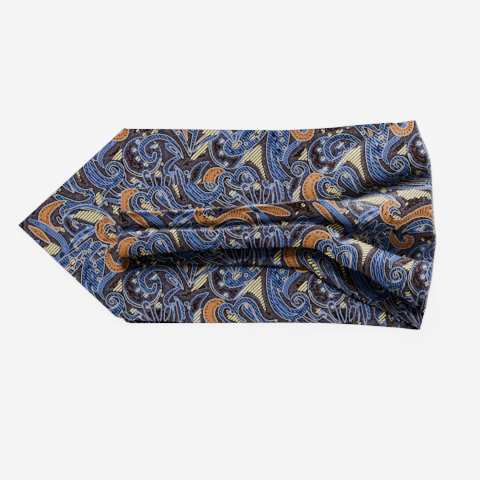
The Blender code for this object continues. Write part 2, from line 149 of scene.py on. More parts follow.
# Creases, seen from above: from (x, y), to (x, y), how wide, how high (below zero a trough)
BLADE_CREASES = (
    (70, 66, 112, 70.5, 2.2, 0.55), (74, 62, 106, 66, 1.8, -0.35), (62, 72, 82, 60, 4, 0.4),
    (-20, 58, 30, 52, 7, 0.25), (-120, 10, -60, 40, 9, 0.22), (-110, -20, -70, -48, 8, 0.2),
    (-40, -60, 20, -52, 7, 0.22), (30, -66, 78, -58, 6, 0.3), (90, -72, 118, -70, 3, 0.25),
)
RUN_CREASES = (
    (86, 46, 140, 66, 4, 0.55), (96, 34, 138, 52, 3.2, -0.4), (104, 56, 150, 72, 3.5, 0.45),
    (84, 12, 128, 22, 4.5, 0.55), (92, 2, 150, 6, 6, 0.5), (98, -6, 146, -10, 4, -0.45),
    (112, 14, 156, 24, 4, -0.35), (92, -18, 128, -34, 2.6, 0.35), (116, -34, 148, -50, 3, -0.35),
    (124, -44, 150, -58, 3, 0.3), (-60, 20, 10, 24, 4, 0.22), (0, 24, 64, 30, 3.5, 0.25),
    (-70, 2, 0, 5, 3, 0.2), (20, 8, 74, 10, 3, 0.3), (-60, -14, 10, -11, 3, 0.2),
    (30, -9, 78, -10, 3, 0.28),
)
LOBE_CREASES = (
    (58, -24, 70, -30, 1.3, 0.55), (62, -22, 78, -36, 1.2, -0.5), (68, -26, 88, -40, 1.5, 0.6),
    (74, -38, 98, -52, 1.6, 0.4), (40, -21, 60, -27, 1.4, 0.45), (10, -22, 36, -29, 1.4, 0.35),
    (-30, -24, 0, -28, 1.6, 0.3), (104, -52, 134, -68, 2, 0.45), (118, -64, 142, -77, 1.8, -0.35),
    (128, -62, 148, -74, 1.8, 0.4),
)

# How finely the meshes follow the cloth
PLEAT_TURN_WEIGHT = 0.8
PROBES = 900
HIDDEN_ROW = 4.0
INNER_FACE_STRIDE = 4
EDGE_LAYERS = 3
LAYER_BULGE = 0.35
UNDER_NOSE_TURNS = (75.0, 50.0, 25.0)
NOSE_STEP = 10.0

# Sections: how far an open pleat's points rise or fall, and the controls across each strip
# (share of its width, what opening or the fan adds, share of its drop, what they add to that)
OPEN_PLEAT_FALL = 0.15
OPEN_PLEAT_RISES = (0.10, 0.25, 0.45)
STRIP1_EDGE = (0.13, 0.25)
STRIP1_SHARES = ((0.50, 0, 0, 0), (0.80, -0.04, 0.12, 0.20))
STRIP2_START = (0.27, 0.15)
STRIP2_SHARES = ((0.68, -0.14, 0, 0.12),)
STRIP2_FOOT_SHARES = ((0.84, -0.04, 0, 0.36), (0.98, 0, 0, 0))
STRIP3_SHARES = ((0.28, 0, 0, 0), (0.62, 0, 0, 0), (0.88, 0, 0.55, 0))
UNDER_EDGE_ROLL = 4.0
PLAIN_SHARES = (0.4, 0.8)
RIDGE_SHARES = (0.7, 0.3)
EDGE_SHARES = (0.85, 0.6)

# Places along a section, in controls: where pleats hide the cloth, the middle strip's crest, and
# where the under run comes out from below
PLEAT1_HIDDEN = (5.0, 10.0)
STRIP2_CREST = 14.0
PLEAT2_HIDDEN = (17.0, 22.0)
UNDER_RUN_SHOWN = 4.2

# Unevenness of laid cloth (height, then lengths of its waves), and the run of a crease
LONG_WAVE = (0.10, 11.0, 17.0, 13.0)
SHORT_WAVE = (0.06, 5.3, 7.1)
WAVE_BEND = 0.8
WAVE_SHIFT = 0.5
CREASE_BOW = 0.06
CREASE_FULL = 0.22
CREASE_FADE = 0.16

# How far threads keep the direction of those beside them, and the least step between two rows
THREAD_REACH = 12.0
LEAST_STEP = 1e-4


def smooth(value):
    """0 up to 0, 1 from 1 on, and a soft step between."""
    value = np.clip(value, 0.0, 1.0)
    return value * value * (3.0 - 2.0 * value)


def mix(a, b, share):
    return a + (b - a) * share


def through(known, values, wanted):
    """A smooth curve through a table's rows that never swings past them."""
    known = np.asarray(known, float)
    values = np.asarray(values, float)
    steps = np.diff(known)
    slopes = np.diff(values) / steps
    product = slopes[:-1] * slopes[1:]
    total = np.where(product > 0, slopes[:-1] + slopes[1:], 1.0)
    inner = np.where(product > 0, 2.0 * product / total, 0.0)
    tangents = np.concatenate([slopes[:1], inner, slopes[-1:]])
    i = np.clip(np.searchsorted(known, wanted) - 1, 0, len(steps) - 1)
    t = np.clip((wanted - known[i]) / steps[i], 0.0, 1.0)
    start = (1 + 2 * t) * (1 - t) ** 2 * values[i] + t * (1 - t) ** 2 * steps[i] * tangents[i]
    end = t * t * (3 - 2 * t) * values[i + 1] + t * t * (t - 1) * steps[i] * tangents[i + 1]
    return start + end


def read_table(columns, rows, stations):
    """A table's columns, by name, at every station."""
    data = np.array(rows, float).T
    columns = {name: through(data[0], data[i], stations) for i, name in enumerate(columns)}
    return SimpleNamespace(**columns)


def right_edge(y):
    ys, xs = np.array(RIGHT_EDGE, float).T
    return through(ys, xs, y)


def blade_edges(rows, x):
    table = np.array(rows, float).T
    return np.interp(x, table[0], table[1]), np.interp(x, table[0], table[2])


def curve_span(controls):
    return len(controls) + 1.0


def soft_curve(controls, places):
    """Points at places along the cubic B-spline that starts and ends at the outer controls."""
    controls = np.stack(controls)
    padded = np.concatenate([controls[:1]] * 2 + [controls] + [controls[-1:]] * 2)
    i = np.minimum(places.astype(int), len(padded) - 4)
    t = (places - i)[:, None, None]
    a, b, c, d = (padded[i + k] for k in range(4))
    total = (1 - t) ** 3 * a + (3 * t**3 - 6 * t * t + 4) * b
    total = total + (-3 * t**3 + 3 * t * t + 3 * t + 1) * c + t**3 * d
    return total / 6.0


def even_places(controls, spacing, shown=None):
    """Places that keep neighbouring lines within the spacing at every station."""
    probe = np.linspace(0.0, curve_span(controls), PROBES)
    step = np.diff(soft_curve(controls, probe), axis=0)
    length = np.linalg.norm(step, axis=-1)
    heading = np.unwrap(np.arctan2(step[..., 1], step[..., 0]), axis=0)
    bend = np.abs(np.diff(heading, axis=0, prepend=heading[:1]))
    effort = (length + PLEAT_TURN_WEIGHT * bend).max(axis=1)
    if shown is not None:
        effort = effort * np.where(probe[:-1] < shown, spacing / HIDDEN_ROW, 1.0)
    travelled = np.concatenate([[0.0], np.cumsum(effort)])
    count = round(travelled[-1] / spacing) + 1
    return np.interp(np.linspace(0.0, travelled[-1], count), travelled, probe)


def point(y, z):
    return np.stack([y + 0.0 * z, z + 0.0 * y], axis=-1)


def closedness(tuck):
    """1 where a pleat is folded shut, 0 where it has opened into a trough."""
    return smooth((tuck + OPEN_TUCK) / (SHUT_TUCK + OPEN_TUCK))


def knife_pleat(fold_y, tuck, foot_z, roll_before, roll_after):
    """Controls of one pleat: the hidden fold, then the fold seen from above, over it."""
    closed = closedness(tuck)
    lead = np.minimum(PLEAT_PITCH, tuck / 2)
    hidden_y = fold_y - tuck
    low_z = foot_z + PLEAT_PITCH * closed
    high_z = foot_z + 2 * PLEAT_PITCH * closed
    rise = (1 - closed) * (roll_after - foot_z)
    fall = (1 - closed) * (roll_before - foot_z)
    lip, crown, back = OPEN_PLEAT_RISES
    return [
        point(hidden_y + PLEAT_PITCH, foot_z + OPEN_PLEAT_FALL * fall),
        point(hidden_y, foot_z),
        point(hidden_y, low_z),
        point(hidden_y + lead, low_z),
        point(fold_y - lead, low_z),
        point(fold_y, low_z + lip * rise),
        point(fold_y, high_z + crown * rise),
        point(fold_y - PLEAT_PITCH, high_z + back * rise),
    ]


def across_strip(start_y, end_y, high_z, low_z, shares, change=0.0):
    """Controls across a strip, at shares of its width and drop, with what the change adds to both."""
    return [
        point(mix(start_y, end_y, across + wider * change), mix(high_z, low_z, drop + deeper * change))
        for across, wider, drop, deeper in shares
    ]


def upper_run_controls(stations):
    """Controls of the upper run's sections, from its top edge to its bottom edge."""
    row = read_table(UPPER_RUN_COLUMNS, UPPER_RUN, stations)
    fan = smooth((stations - SLUMP_X[0]) / np.ptp(SLUMP_X))
    open1 = 1 - closedness(row.tuck1)
    open2 = 1 - closedness(row.tuck2)
    edge_across, edge_rise = STRIP1_EDGE
    crest_across, crest_dip = STRIP2_START
    strip1 = [
        point(row.top_y, row.top_z),
        point(mix(row.top_y, row.fold1_y, edge_across), mix(row.top_z, row.roll1_z, edge_rise)),
    ]
    strip1 += across_strip(row.top_y, row.fold1_y, row.roll1_z, row.foot1_z, STRIP1_SHARES, open1)
    end_y = row.fold2_y + open2 * (PLEAT_PITCH - row.tuck2)
    dip = crest_dip * open1 * (row.roll2_z - row.foot1_z)
    strip2 = [point(mix(row.fold1_y, end_y, crest_across), row.roll2_z - dip)]
    strip2 += across_strip(row.fold1_y, end_y, row.roll2_z, row.foot2_z, STRIP2_SHARES, fan)
    strip2 += across_strip(row.fold1_y, end_y, row.foot2_z, row.roll2_z, STRIP2_FOOT_SHARES, fan)
    strip3 = across_strip(row.fold2_y, row.bottom_y, row.roll3_z, row.bottom_z, STRIP3_SHARES)
    strip3.append(point(row.bottom_y, row.bottom_z))
    pleat1 = knife_pleat(row.fold1_y, row.tuck1, row.foot1_z, row.roll1_z, row.roll2_z)
    pleat2 = knife_pleat(row.fold2_y, row.tuck2, row.foot2_z, row.roll2_z, row.roll3_z)
    return strip1 + pleat1 + strip2 + pleat2 + strip3


def under_run_controls(stations):
    """Controls of the under run's upper face, from its top edge to its bottom edge, and its depth."""
    row = read_table(UNDER_RUN_COLUMNS, UNDER_RUN, stations)
    after_valley, after_ridge = RIDGE_SHARES
    near_edge, edge_drop = EDGE_SHARES
    controls = [
        point(row.top_y, np.minimum(row.plain_z, row.edge_z)),
        point(row.top_y - UNDER_EDGE_ROLL, row.plain_z),
        *(point(mix(row.top_y, row.valley_y, share), row.plain_z) for share in PLAIN_SHARES),
        point(row.valley_y, row.valley_z),
        point(mix(row.valley_y, row.ridge_y, after_valley), row.ridge_z),
        point(mix(row.ridge_y, row.bottom_y, after_ridge), row.ridge_z),
        point(mix(row.ridge_y, row.bottom_y, near_edge), mix(row.ridge_z, row.edge_z, edge_drop)),
        point(row.bottom_y, row.edge_z),
    ]
    return controls, row.depth


def round_the_fold(end, centre_x, radius, low_z, sweep_y, blade, seam_x, gap, spacing):
    """Rows that carry a run's last row round the right-hand fold and back to its blade's seam."""
    rows = []
    steps = int(np.pi * radius.max() / spacing) + 1
    for angle in np.radians(np.linspace(90.0, -90.0, steps + 1)[1:]):
        up = np.sin(angle)
        x = centre_x + radius * np.cos(angle)
        y = end[:, 1] + sweep_y * (1 - up)
        rows.append(np.stack([x, y, low_z + radius * (1 + up)], axis=-1))
    last = rows[-1]
    seam_y = spread_over(blade, seam_x, end)
    edge_x = seam_x + gap
    flat_steps = int((last[:, 0].max() - edge_x) / HIDDEN_ROW) + 1
    for share in np.linspace(0.0, 1.0, flat_steps + 1)[1:]:
        x = mix(last[:, 0], edge_x, share)
        y = mix(last[:, 1], seam_y, smooth(share))
        rows.append(np.stack([x, y, last[:, 2]], axis=-1))
    return rows


def spread_over(rows, x, end):
    """The place across a blade, at x, of each point of a run's last row."""
    top, bottom = blade_edges(rows, x)
    share = (end[:, 1] - end[0, 1]) / (end[-1, 1] - end[0, 1])
    return mix(top, bottom, np.clip(share, 0.0, 1.0))


def rows_between(start, end, spacing):
    return np.linspace(start, end, max(2, int((end - start) / spacing) + 2))


def stations_along(start, fan_start, end, spacing):
    """Where a run's sections are taken: along its band, then along its fan."""
    band = rows_between(start, fan_start, spacing)
    return np.concatenate([band, rows_between(fan_start, end, spacing)[1:]])


def shown_rows_of(stations, sections, centre_x, end_x):
    """A run's rows of points that lie flat, drawn out to the right-hand fold as they near it."""
    reach = smooth((stations - TURN_BLEND_X) / (end_x - TURN_BLEND_X))
    return [
        np.column_stack([station + reach[i] * (centre_x - end_x), sections[:, i]])
        for i, station in enumerate(stations)
    ]


def along_cloth(grid):
    """Distance along the cloth's threads of each row, for each line."""
    step = np.linalg.norm(np.diff(grid[..., [0, 2]], axis=0), axis=-1)
    return np.concatenate([np.zeros((1, grid.shape[1])), np.cumsum(step, axis=0)])


def threads_turned(grid, end_rows):
    """How far a strip's threads turn away from x at each row, in radians, after its lower edge."""
    x, y = grid[:end_rows, -1, 0], grid[:end_rows, -1, 1]
    count = np.arange(len(grid))
    rise = np.gradient(y, np.maximum(x, np.maximum.accumulate(x)) + LEAST_STEP * count[:end_rows])
    near = np.exp(-(((x[:, None] - x[None, :]) / THREAD_REACH) ** 2))
    near[:, x < NECK_FOLD_X] = 0.0
    turned = (near @ np.clip(rise, -1.0, 1.0)) / np.maximum(near.sum(axis=1), 1e-6)
    return np.arctan(np.interp(count, count[:end_rows], turned))


def across_cloth(grid):
    """Distance across the cloth of each line, for each row."""
    step = np.linalg.norm(np.diff(grid, axis=1), axis=-1)
    return np.concatenate([np.zeros((grid.shape[0], 1)), np.cumsum(step, axis=1)], axis=1)


def outward(grid):
    """Unit normals of a grid of points, facing away from the table."""
    normal = np.cross(np.gradient(grid, axis=1), np.gradient(grid, axis=0))
    return normal / np.maximum(np.linalg.norm(normal, axis=-1, keepdims=True), 1e-9)


def creased(grid, creases, until_row):
    """The grid with soft ridges and troughs, and slight unevenness, up to a row."""
    x, y = grid[:until_row, :, 0], grid[:until_row, :, 1]
    (long_lift, *long), (short_lift, *short) = LONG_WAVE, SHORT_WAVE
    bent = x / long[0] + WAVE_BEND * np.sin(y / long[1])
    lift = long_lift * np.sin(bent) * np.sin(y / long[2] + WAVE_SHIFT)
    lift += short_lift * np.sin(x / short[0] - y / short[1])
    for x0, y0, x1, y1, width, height in creases:
        run = np.array([x1 - x0, y1 - y0])
        share = ((x - x0) * run[0] + (y - y0) * run[1]) / (run @ run)
        bow = CREASE_BOW * np.hypot(*run) * np.sin(np.pi * np.clip(share, 0.0, 1.0))
        off = ((y - y0) * run[0] - (x - x0) * run[1]) / np.hypot(*run) - bow
        past = np.clip(np.abs(share - 0.5) - CREASE_FULL, 0.0, None)
        fade = np.exp(-(past / CREASE_FADE) ** 2)
        lift += height * fade * np.exp(-((off / width) ** 2))
    grid = grid.copy()
    grid[:until_row, :, 2] += lift
    return grid


def neck_nose(first):
    """Rows that turn the upper run down at the centre back, before its first flat row."""
    height = first[:, 1] - NECK_AXIS_Z
    rows = []
    for turn in np.radians(np.arange(90.0, 0.0, -NOSE_STEP)):
        x = NECK_FOLD_X - NECK_SQUEEZE * height * np.sin(turn)
        z = NECK_AXIS_Z + height * np.cos(turn)
        rows.append(np.stack([x, first[:, 0], z], axis=-1))
    return rows


def upper_run_threads(grid, places, shown_rows):
    """How far along its cloth (u) and across it (v) each point of the upper run lies."""
    across = across_cloth(grid)
    reached = np.maximum.accumulate(grid[:, 0, 0])
    top_v, crest_v = (
        np.interp(reached, *np.array(table).T)[:, None] for table in (STRIP1_TOP_V, STRIP2_CREST_V)
    )
    crest = np.array([np.interp(STRIP2_CREST, places, row) for row in across])[:, None]
    drawn = STRIP2_DRAWN_IN * smooth((grid[:, :1, 0] - STRIP2_DRAWN_X[0]) / np.ptp(STRIP2_DRAWN_X))
    from_crest = (across - crest) * (1 + drawn * (across > crest))
    from_bottom = across - across[:, -1:]
    under_pleat1, under_pleat2 = (
        smooth((places - start) / (end - start)) for start, end in (PLEAT1_HIDDEN, PLEAT2_HIDDEN)
    )
    turned = threads_turned(grid, shown_rows)[:, None]
    v = mix(top_v + across, crest_v + from_crest, under_pleat1)
    v = mix(v, STRIP3_BOTTOM_V + from_bottom * np.cos(turned), under_pleat2)
    along = along_cloth(grid)
    longer = np.cumsum(np.diff(along[:, -1:], axis=0, prepend=0.0) * (1 / np.cos(turned) - 1), axis=0)
    return along + (longer - from_bottom * np.sin(turned)) * under_pleat2, v


def upper_run_grid(spacing):
    """Mid-wall points of the upper run from the neck fold to the lower seam, and its u and v."""
    stations = stations_along(NECK_FOLD_X, FAN_START_X, FAN_END_X, spacing)
    controls = upper_run_controls(stations)
    places = even_places(controls, spacing)
    sections = soft_curve(controls, places)
    last = sections[:, -1]
    radius = (last[:, 1] - LOWER_BLADE_Z) / 2
    sweep = -UPPER_EDGE_DRIFT * smooth((DRIFT_FROM_Y - last[:, 0]) / DRIFT_OVER)
    centre_x = right_edge(last[:, 0] + sweep) - SOLID_WALL / 2 - radius
    nose = neck_nose(sections[:, 0])
    rows = nose + shown_rows_of(stations, sections, centre_x, FAN_END_X)
    shown_rows = len(rows)
    rows += round_the_fold(rows[-1], centre_x, radius, LOWER_BLADE_Z, sweep,
                           LOWER_BLADE, LOWER_SEAM_X, LOWER_SEAM_GAP, spacing)
    grid = np.array(rows)
    u, v = upper_run_threads(grid, places, shown_rows)
    u = u - u[len(nose)] + NECK_FOLD_X + UPPER_RUN_U
    return creased(grid, RUN_CREASES, shown_rows), u, -v


def under_run_faces(spacing):
    """Outer and inner points of the under run from the neck to the upper seam, and its u and v."""
    stations = stations_along(NECK_FOLD_X, UNDER_FAN_START_X, UNDER_FAN_END_X, spacing)
    controls, depth = under_run_controls(stations)
    sections = soft_curve(controls, even_places(controls, spacing, UNDER_RUN_SHOWN))
    last = sections[:, -1]
    low_z = SOLID_WALL + SEAM_GAP
    radius = (last[:, 1] - low_z) / 2
    bare, hidden = INNER_TURN_SHOWS_Y
    shows = 1 - smooth((last[:, 0] - bare) / (hidden - bare))
    sweep = -UNDER_EDGE_DRIFT * shows
    centre_x = right_edge(last[:, 0] + sweep) - mix(INNER_TURN_SETBACK, radius, shows)
    rows = shown_rows_of(stations, sections, centre_x, UNDER_FAN_END_X)
    shown_rows = len(rows)
    rows += round_the_fold(rows[-1], centre_x, radius, low_z, sweep,
                           UPPER_BLADE, UPPER_SEAM_X, SEAM_GAP, spacing)
    outer = np.array(rows)
    u = along_cloth(outer) + outer[0, 0, 0] + UNDER_RUN_U
    across = across_cloth(outer)
    v = UNDER_RUN_BOTTOM_V + across[:, -1:] - across
    depths = np.full(len(outer), SOLID_WALL)
    depths[:shown_rows] = depth
    inner = outer - outward(outer) * depths[:, None, None]
    flat = inner[:shown_rows]
    flat[..., 2] = np.maximum(flat[..., 2], UNDER_RUN_FLOOR)
    outer = creased(outer, LOBE_CREASES, shown_rows)
    nose = [under_run_nose(outer[0], inner[0], turn) for turn in UNDER_NOSE_TURNS]
    outer = np.concatenate([[upper for upper, _ in nose], outer])
    inner = np.concatenate([[lower for _, lower in nose], inner])
    u = np.concatenate([u[:1]] * len(nose) + [u])
    v = np.concatenate([v[:1]] * len(nose) + [v])
    return outer, inner, u, v


def under_run_nose(upper, lower, turn):
    """One row that rounds off the under run below the neck fold."""
    forward = UNDER_NOSE_LENGTH * np.sin(np.radians(turn))
    thinner = np.cos(np.radians(turn))
    moved = upper - np.array([forward, 0.0, 0.0])
    below = moved.copy()
    below[:, 2] = moved[:, 2] - (upper[:, 2] - lower[:, 2]) * thinner
    return moved, below


def layered_edge(upper, lower):
    """Points down a free edge that show it as several layers of cloth."""
    out = upper[0] - upper[1]
    out = out / np.linalg.norm(out)
    height = np.linalg.norm(upper[0] - lower[0])
    bulge = LAYER_BULGE * min(1.0, height / (EDGE_LAYERS * SOLID_WALL))
    count = 2 * EDGE_LAYERS
    sides = [bulge if i % 2 else -bulge for i in range(1, count)]
    return [mix(upper[0], lower[0], (i + 1) / count) + out * side for i, side in enumerate(sides)]


def blade_grid(outline, height, spacing):
    """Mid-wall points of a flat pointed blade, and its u and v."""
    table = np.array(outline, float).T
    stations = rows_between(table[0][0], table[0][-1], spacing)
    stations = np.unique(np.concatenate([stations, table[0]]).round(3))
    top, bottom = blade_edges(outline, stations)
    count = round((top - bottom).max() / spacing) + 1
    share = np.linspace(0.0, 1.0, count)
    y = mix(top[:, None], bottom[:, None], share)
    x = np.repeat(stations[:, None], count, axis=1)
    grid = np.stack([x, y, np.full_like(x, height)], axis=-1)
    return grid, x + BLADE_U, y - BLADE_V


# The chart's step in millimetres, its repeat in steps, and where it lies on each sheet (u, v)
CHART_STEP = 0.79
CHART_SIZE = (185.0, 131.0)
BLADE_U = 67.2
BLADE_V = 54.3
UPPER_RUN_U = 135.2
STRIP1_TOP_V = (
    (-90, 9.3), (68, 9.3), (80, 1.5), (93, -6), (105, -12), (119, -17), (133.5, -22.5),
    (152.5, -25.5),
)
STRIP2_CREST_V = ((-90, 65.8), (80, 65.8), (110, 69), (150, 72))
STRIP2_DRAWN_IN = 0.18
STRIP2_DRAWN_X = (75.0, 110.0)
STRIP3_BOTTOM_V = 127.6
UNDER_RUN_U = 150.0
UNDER_RUN_BOTTOM_V = -30.0

# The paisley, charted in steps, x to the right and y down. A stroke is points of (x, y, half width).
# Strokes are laid in this order, and each covers those before it.
STROKES = (
    ("brown", ((0, 0, 19), (0.5, 0, 19))),
    ("blue", ((-18, 4, 1), (-13, 14, 1.3), (0, 19.5, 1.3), (13, 14, 1.3), (19, 3, 1))),
    ("brown", ((88, -8, 21), (90, -10, 21))),
    ("blue", ((69, -22, 1), (68, -8, 1.2), (72, 4, 1.2), (82, 11, 1))),
    ("blue", ((-46, 2, 3), (-47, -12, 8), (-47, -28, 10), (-44, -42, 4))),
    ("blue", ((-29, 13, 1.6), (-26, 16, 1.7), (-30, 18.5, 1.8), (-34.5, 14, 1.9), (-31, 8, 2),
        (-23, 9, 2.2), (-20, 16, 2.6), (-26, 25, 4.2), (-38, 27, 6), (-49, 18, 6.5), (-55, 2, 5.2),
        (-56, -14, 4.2), (-53, -30, 3.4), (-47, -44, 1.2))),
    ("ribbon", ((-38, 12, 0.8), (-42, 4, 2.2), (-38, -6, 2.6), (-29, -14, 2.6), (-23, -24, 2.2),
        (-20, -33, 1))),
    ("blue", ((90, -8, 8.5), (98, -13, 11), (110, -21, 9.5), (122, -32, 6.5), (134, -47, 2))),
    ("cream", ((93, -10, 2.6), (98, -13, 1.6))),
    ("cream", ((110, -18, 2.2), (114, -22, 1.2))),
    ("blue", ((13, -2, 1.8), (11, 3.6, 2.4), (4.5, 3, 2.8), (0.5, -3, 3), (0, -10, 3),
        (6, -16.5, 2.8), (15, -19.5, 2.6), (27, -17, 2.4), (36, -8, 2.1), (41, 2, 0.8))),
    ("brown", ((24, -12, 1), (29, -8, 3.4), (35, -3, 2.4), (39, 1, 0.6))),
    ("blue", ((28, -9, 0.9), (32, -6, 1.5), (35, -3, 0.7))),
    ("blue", ((28, -33, 2.4), (38, -21, 2.4), (44, -10, 1.8), (47.5, -1, 0.6))),
    ("rust", ((42, -30, 2.6), (45, -15, 0.5))),
    ("blue", ((56, -33, 2.6), (51, -13, 1.9), (48, 0, 0.6))),
    ("rust", ((74, -27, 1.3), (62, -19, 1.1), (53, -11, 0.5))),
    ("ribbon", ((74, -21, 2.2), (62, -13, 2), (51, -4, 0.8))),
    ("brown", ((37, 1, 1.4), (29, 6, 2.4), (24, 13, 2.6), (27, 19, 2.2), (32, 17, 1.6))),
    ("brown", ((33, 10, 1), (39, 19, 2.4), (42, 31, 1.2))),
    ("brown", ((66, 6, 1), (56, 13, 4.4), (52, 25, 5.2), (56, 37, 3))),
    ("rust", ((85, 18, 0.8), (78, 15, 3), (70, 18, 5), (67, 27, 5.6), (72, 37, 4.2), (82, 45, 1.2))),
    ("blue", ((85.5, 24, 1.2), (88, 26.5, 1.8), (91, 23, 2), (88, 19, 2.2), (82, 18.5, 2.3),
        (78.5, 24, 2.4), (80, 30, 2.2), (86, 35.5, 1.6), (97, 38.5, 0.8))),
    ("blue", ((103, 34, 1.2), (96, 30, 2.2), (93.5, 23, 2.6), (97, 15.5, 2.7), (104, 13, 2.8),
        (111, 17, 2.8), (115, 25, 2.8), (119, 32, 2.6), (127, 35.5, 2), (135, 33, 0.8))),
    ("blue", ((104, 21.5, 4.4), (108, 27, 3.6), (113, 33, 1.8), (117, 36.5, 0.6))),
    ("petal", ((104, 19.5, 0.9), (105.5, 21, 0.7))),
    ("blue", ((94, 36, 1.2), (106, 44, 3.2), (122, 49, 3.4), (135, 44, 2.8), (134, 36.5, 2),
        (128, 39, 1.2))),
    ("rust", ((109, 45, 0.6), (98, 49, 2.8), (88.5, 57, 5), (88, 67, 5.2), (96, 74, 3.2),
        (104, 72, 0.9))),
    ("blue", ((101, 62, 1.4), (104, 66, 1.8), (108, 62, 2), (105, 55, 2.4), (113, 50, 2.8),
        (127, 50, 3), (143, 55, 2.6), (158, 67, 1))),
    ("brown", ((133, 74, 4.6), (125, 75, 7.2), (115, 71, 5.6), (110, 64, 3.6), (116, 60, 1.4))),
    ("cream", ((131, 73, 1.9), (131.5, 73, 1.9))),
    ("blue", ((121, 67, 0.8), (117, 65, 1), (117, 69, 1), (121, 72, 0.7))),
    ("brown", ((168, 93, 3), (178, 90, 6.5), (188, 92, 5), (195, 96, 2))),
    ("rust", ((157, 68, 1.2), (149, 64.5, 3.2), (142.5, 71, 4.2), (145.5, 80, 4.2), (155, 84, 3.2),
        (165, 81.5, 2.4), (176, 75, 2.6), (190, 72.5, 2.8), (208, 73, 3.2), (222, 77, 4.2),
        (232, 80, 2))),
    ("blue", ((158, 75, 0.9), (153, 71, 1.6), (149, 75, 1.7), (152, 79, 1.2))),
    ("ribbon", ((128, 82, 1), (118, 88, 2.4), (106, 97, 2.6), (98, 107, 2.2), (94, 118, 0.9))),
    ("blue", ((147, 95, 6.6), (140, 100, 5.6), (135, 106, 2.2))),
    ("brown", ((147, 95, 4.8), (140, 100, 3.6), (136, 105, 1))),
    ("blue", ((145, 96, 1.5), (145.6, 96, 1.5))),
    ("rust", ((152, 90, 0.8), (151, 101, 3.2), (156.5, 111, 4), (166, 111, 3.6), (169, 103, 2.8),
        (163.5, 101, 1.6))),
    ("rust", ((154, 91, 1), (163, 81.5, 2.2), (176, 77, 3.2), (189, 80, 3), (199, 90, 0.9))),
    ("blue", ((160, 95, 0.8), (170, 88, 2.2), (179, 86, 2.6), (189, 88, 2.2), (196, 96, 0.8))),
    ("ribbon", ((6, 66, 1), (12, 72, 2.4), (23, 82, 2.6), (35, 95, 1))),
    ("ribbon", ((73, 64, 1.4), (84, 69, 2.8), (95, 76, 3), (106, 86, 3), (107, 97, 2.6),
        (98, 106, 1.2))),
    ("rust", ((73, 71, 1.4), (82, 77, 3.4), (92, 86, 1.4))),
    ("petal", ((10, 38, 0.8), (2, 31, 2.4), (-6, 26, 3))),
    ("petal", ((13, 36, 0.8), (7, 26, 3.4), (4, 18, 3.6))),
    ("petal", ((18, 35, 0.8), (16.5, 25, 3.4), (16, 18, 3.4))),
    ("petal", ((23, 34, 0.8), (25, 27, 3), (26, 22, 3))),
    ("cream", ((5, 20, 1), (5.6, 20, 1))),
    ("ribbon", ((31, 38, 0.6), (32, 28, 1), (30, 16, 0.8))),
    ("petal", ((38, 38, 0.6), (38, 28, 2.2), (35, 14, 1.6))),
    ("blue", ((-17, 18, 1), (-17, 26, 2), (-10, 31, 2.2), (-3, 27, 1.4), (-2, 31, 0.8))),
    ("blue", ((150, 49, 0.9), (146, 41, 1.8), (151, 34, 1.8), (158, 37, 1))),
    ("blue", ((8, 46, 9), (16, 52, 8), (28, 52, 5), (42, 42, 1.4))),
    ("brown", ((8, 46, 5.8), (15, 50, 4.6), (22, 50, 1.4))),
    ("cream", ((8, 46, 2.2), (9, 46, 2.2))),
    ("rust", ((52, 43, 0.8), (46, 51, 3.4), (51, 60, 4), (61, 59, 2.8), (60, 52, 1.2))),
    ("blue", ((20, 103, 1), (28, 98, 2.4), (40, 100, 3), (52, 108, 1.4))),
    ("blue", ((44.5, 16.6, 2.2), (45, 16.6, 2.2))),
    ("rust", ((46.5, 20.4, 1.2), (47, 20.4, 1.2))),
    ("blue", ((54, 91, 2.4), (62, 86, 3.2), (68, 92, 1.2))),
    ("ribbon", ((142, 51, 0.9), (149, 44, 1.6), (158, 45, 2), (170, 49, 2), (190, 53, 1.6),
        (200, 60, 0.6))),
    ("blue", ((150, 31, 1), (158, 38, 1.6), (170, 42, 1.8), (186, 46, 1))),
    ("blue", ((158, 27, 0.8), (168, 34, 1.6), (180, 38, 1.6), (192, 40, 0.8))),
    ("ribbon", ((108, 60, 0.6), (116, 53, 1.2), (130, 50, 1.6), (144, 54, 1.4), (154, 61, 0.5))),
    ("ribbon", ((108, 98, 0.8), (113, 91, 2), (121, 81, 2.3), (131, 75, 2.2), (138, 71.5, 1.2))),
    ("ribbon", ((64, 94, 1), (70, 90, 2.2), (78, 87, 2.4), (82, 85, 1))),
    ("petal", ((118, 90, 1.2), (122, 86, 1.6))),
    ("rust", ((127, 83, 0.7), (130, 80, 1))),
    ("petal", ((126, 96, 1.2), (122, 102, 2.2))),
    ("blue", ((16, 78, 0.7), (20, 90, 1.5), (28, 98, 2.4), (40, 100, 3), (52, 108, 1.4))),
    ("ribbon", ((58, 98, 0.8), (70, 100, 2), (84, 108, 1.8), (92, 118, 0.8))),
)

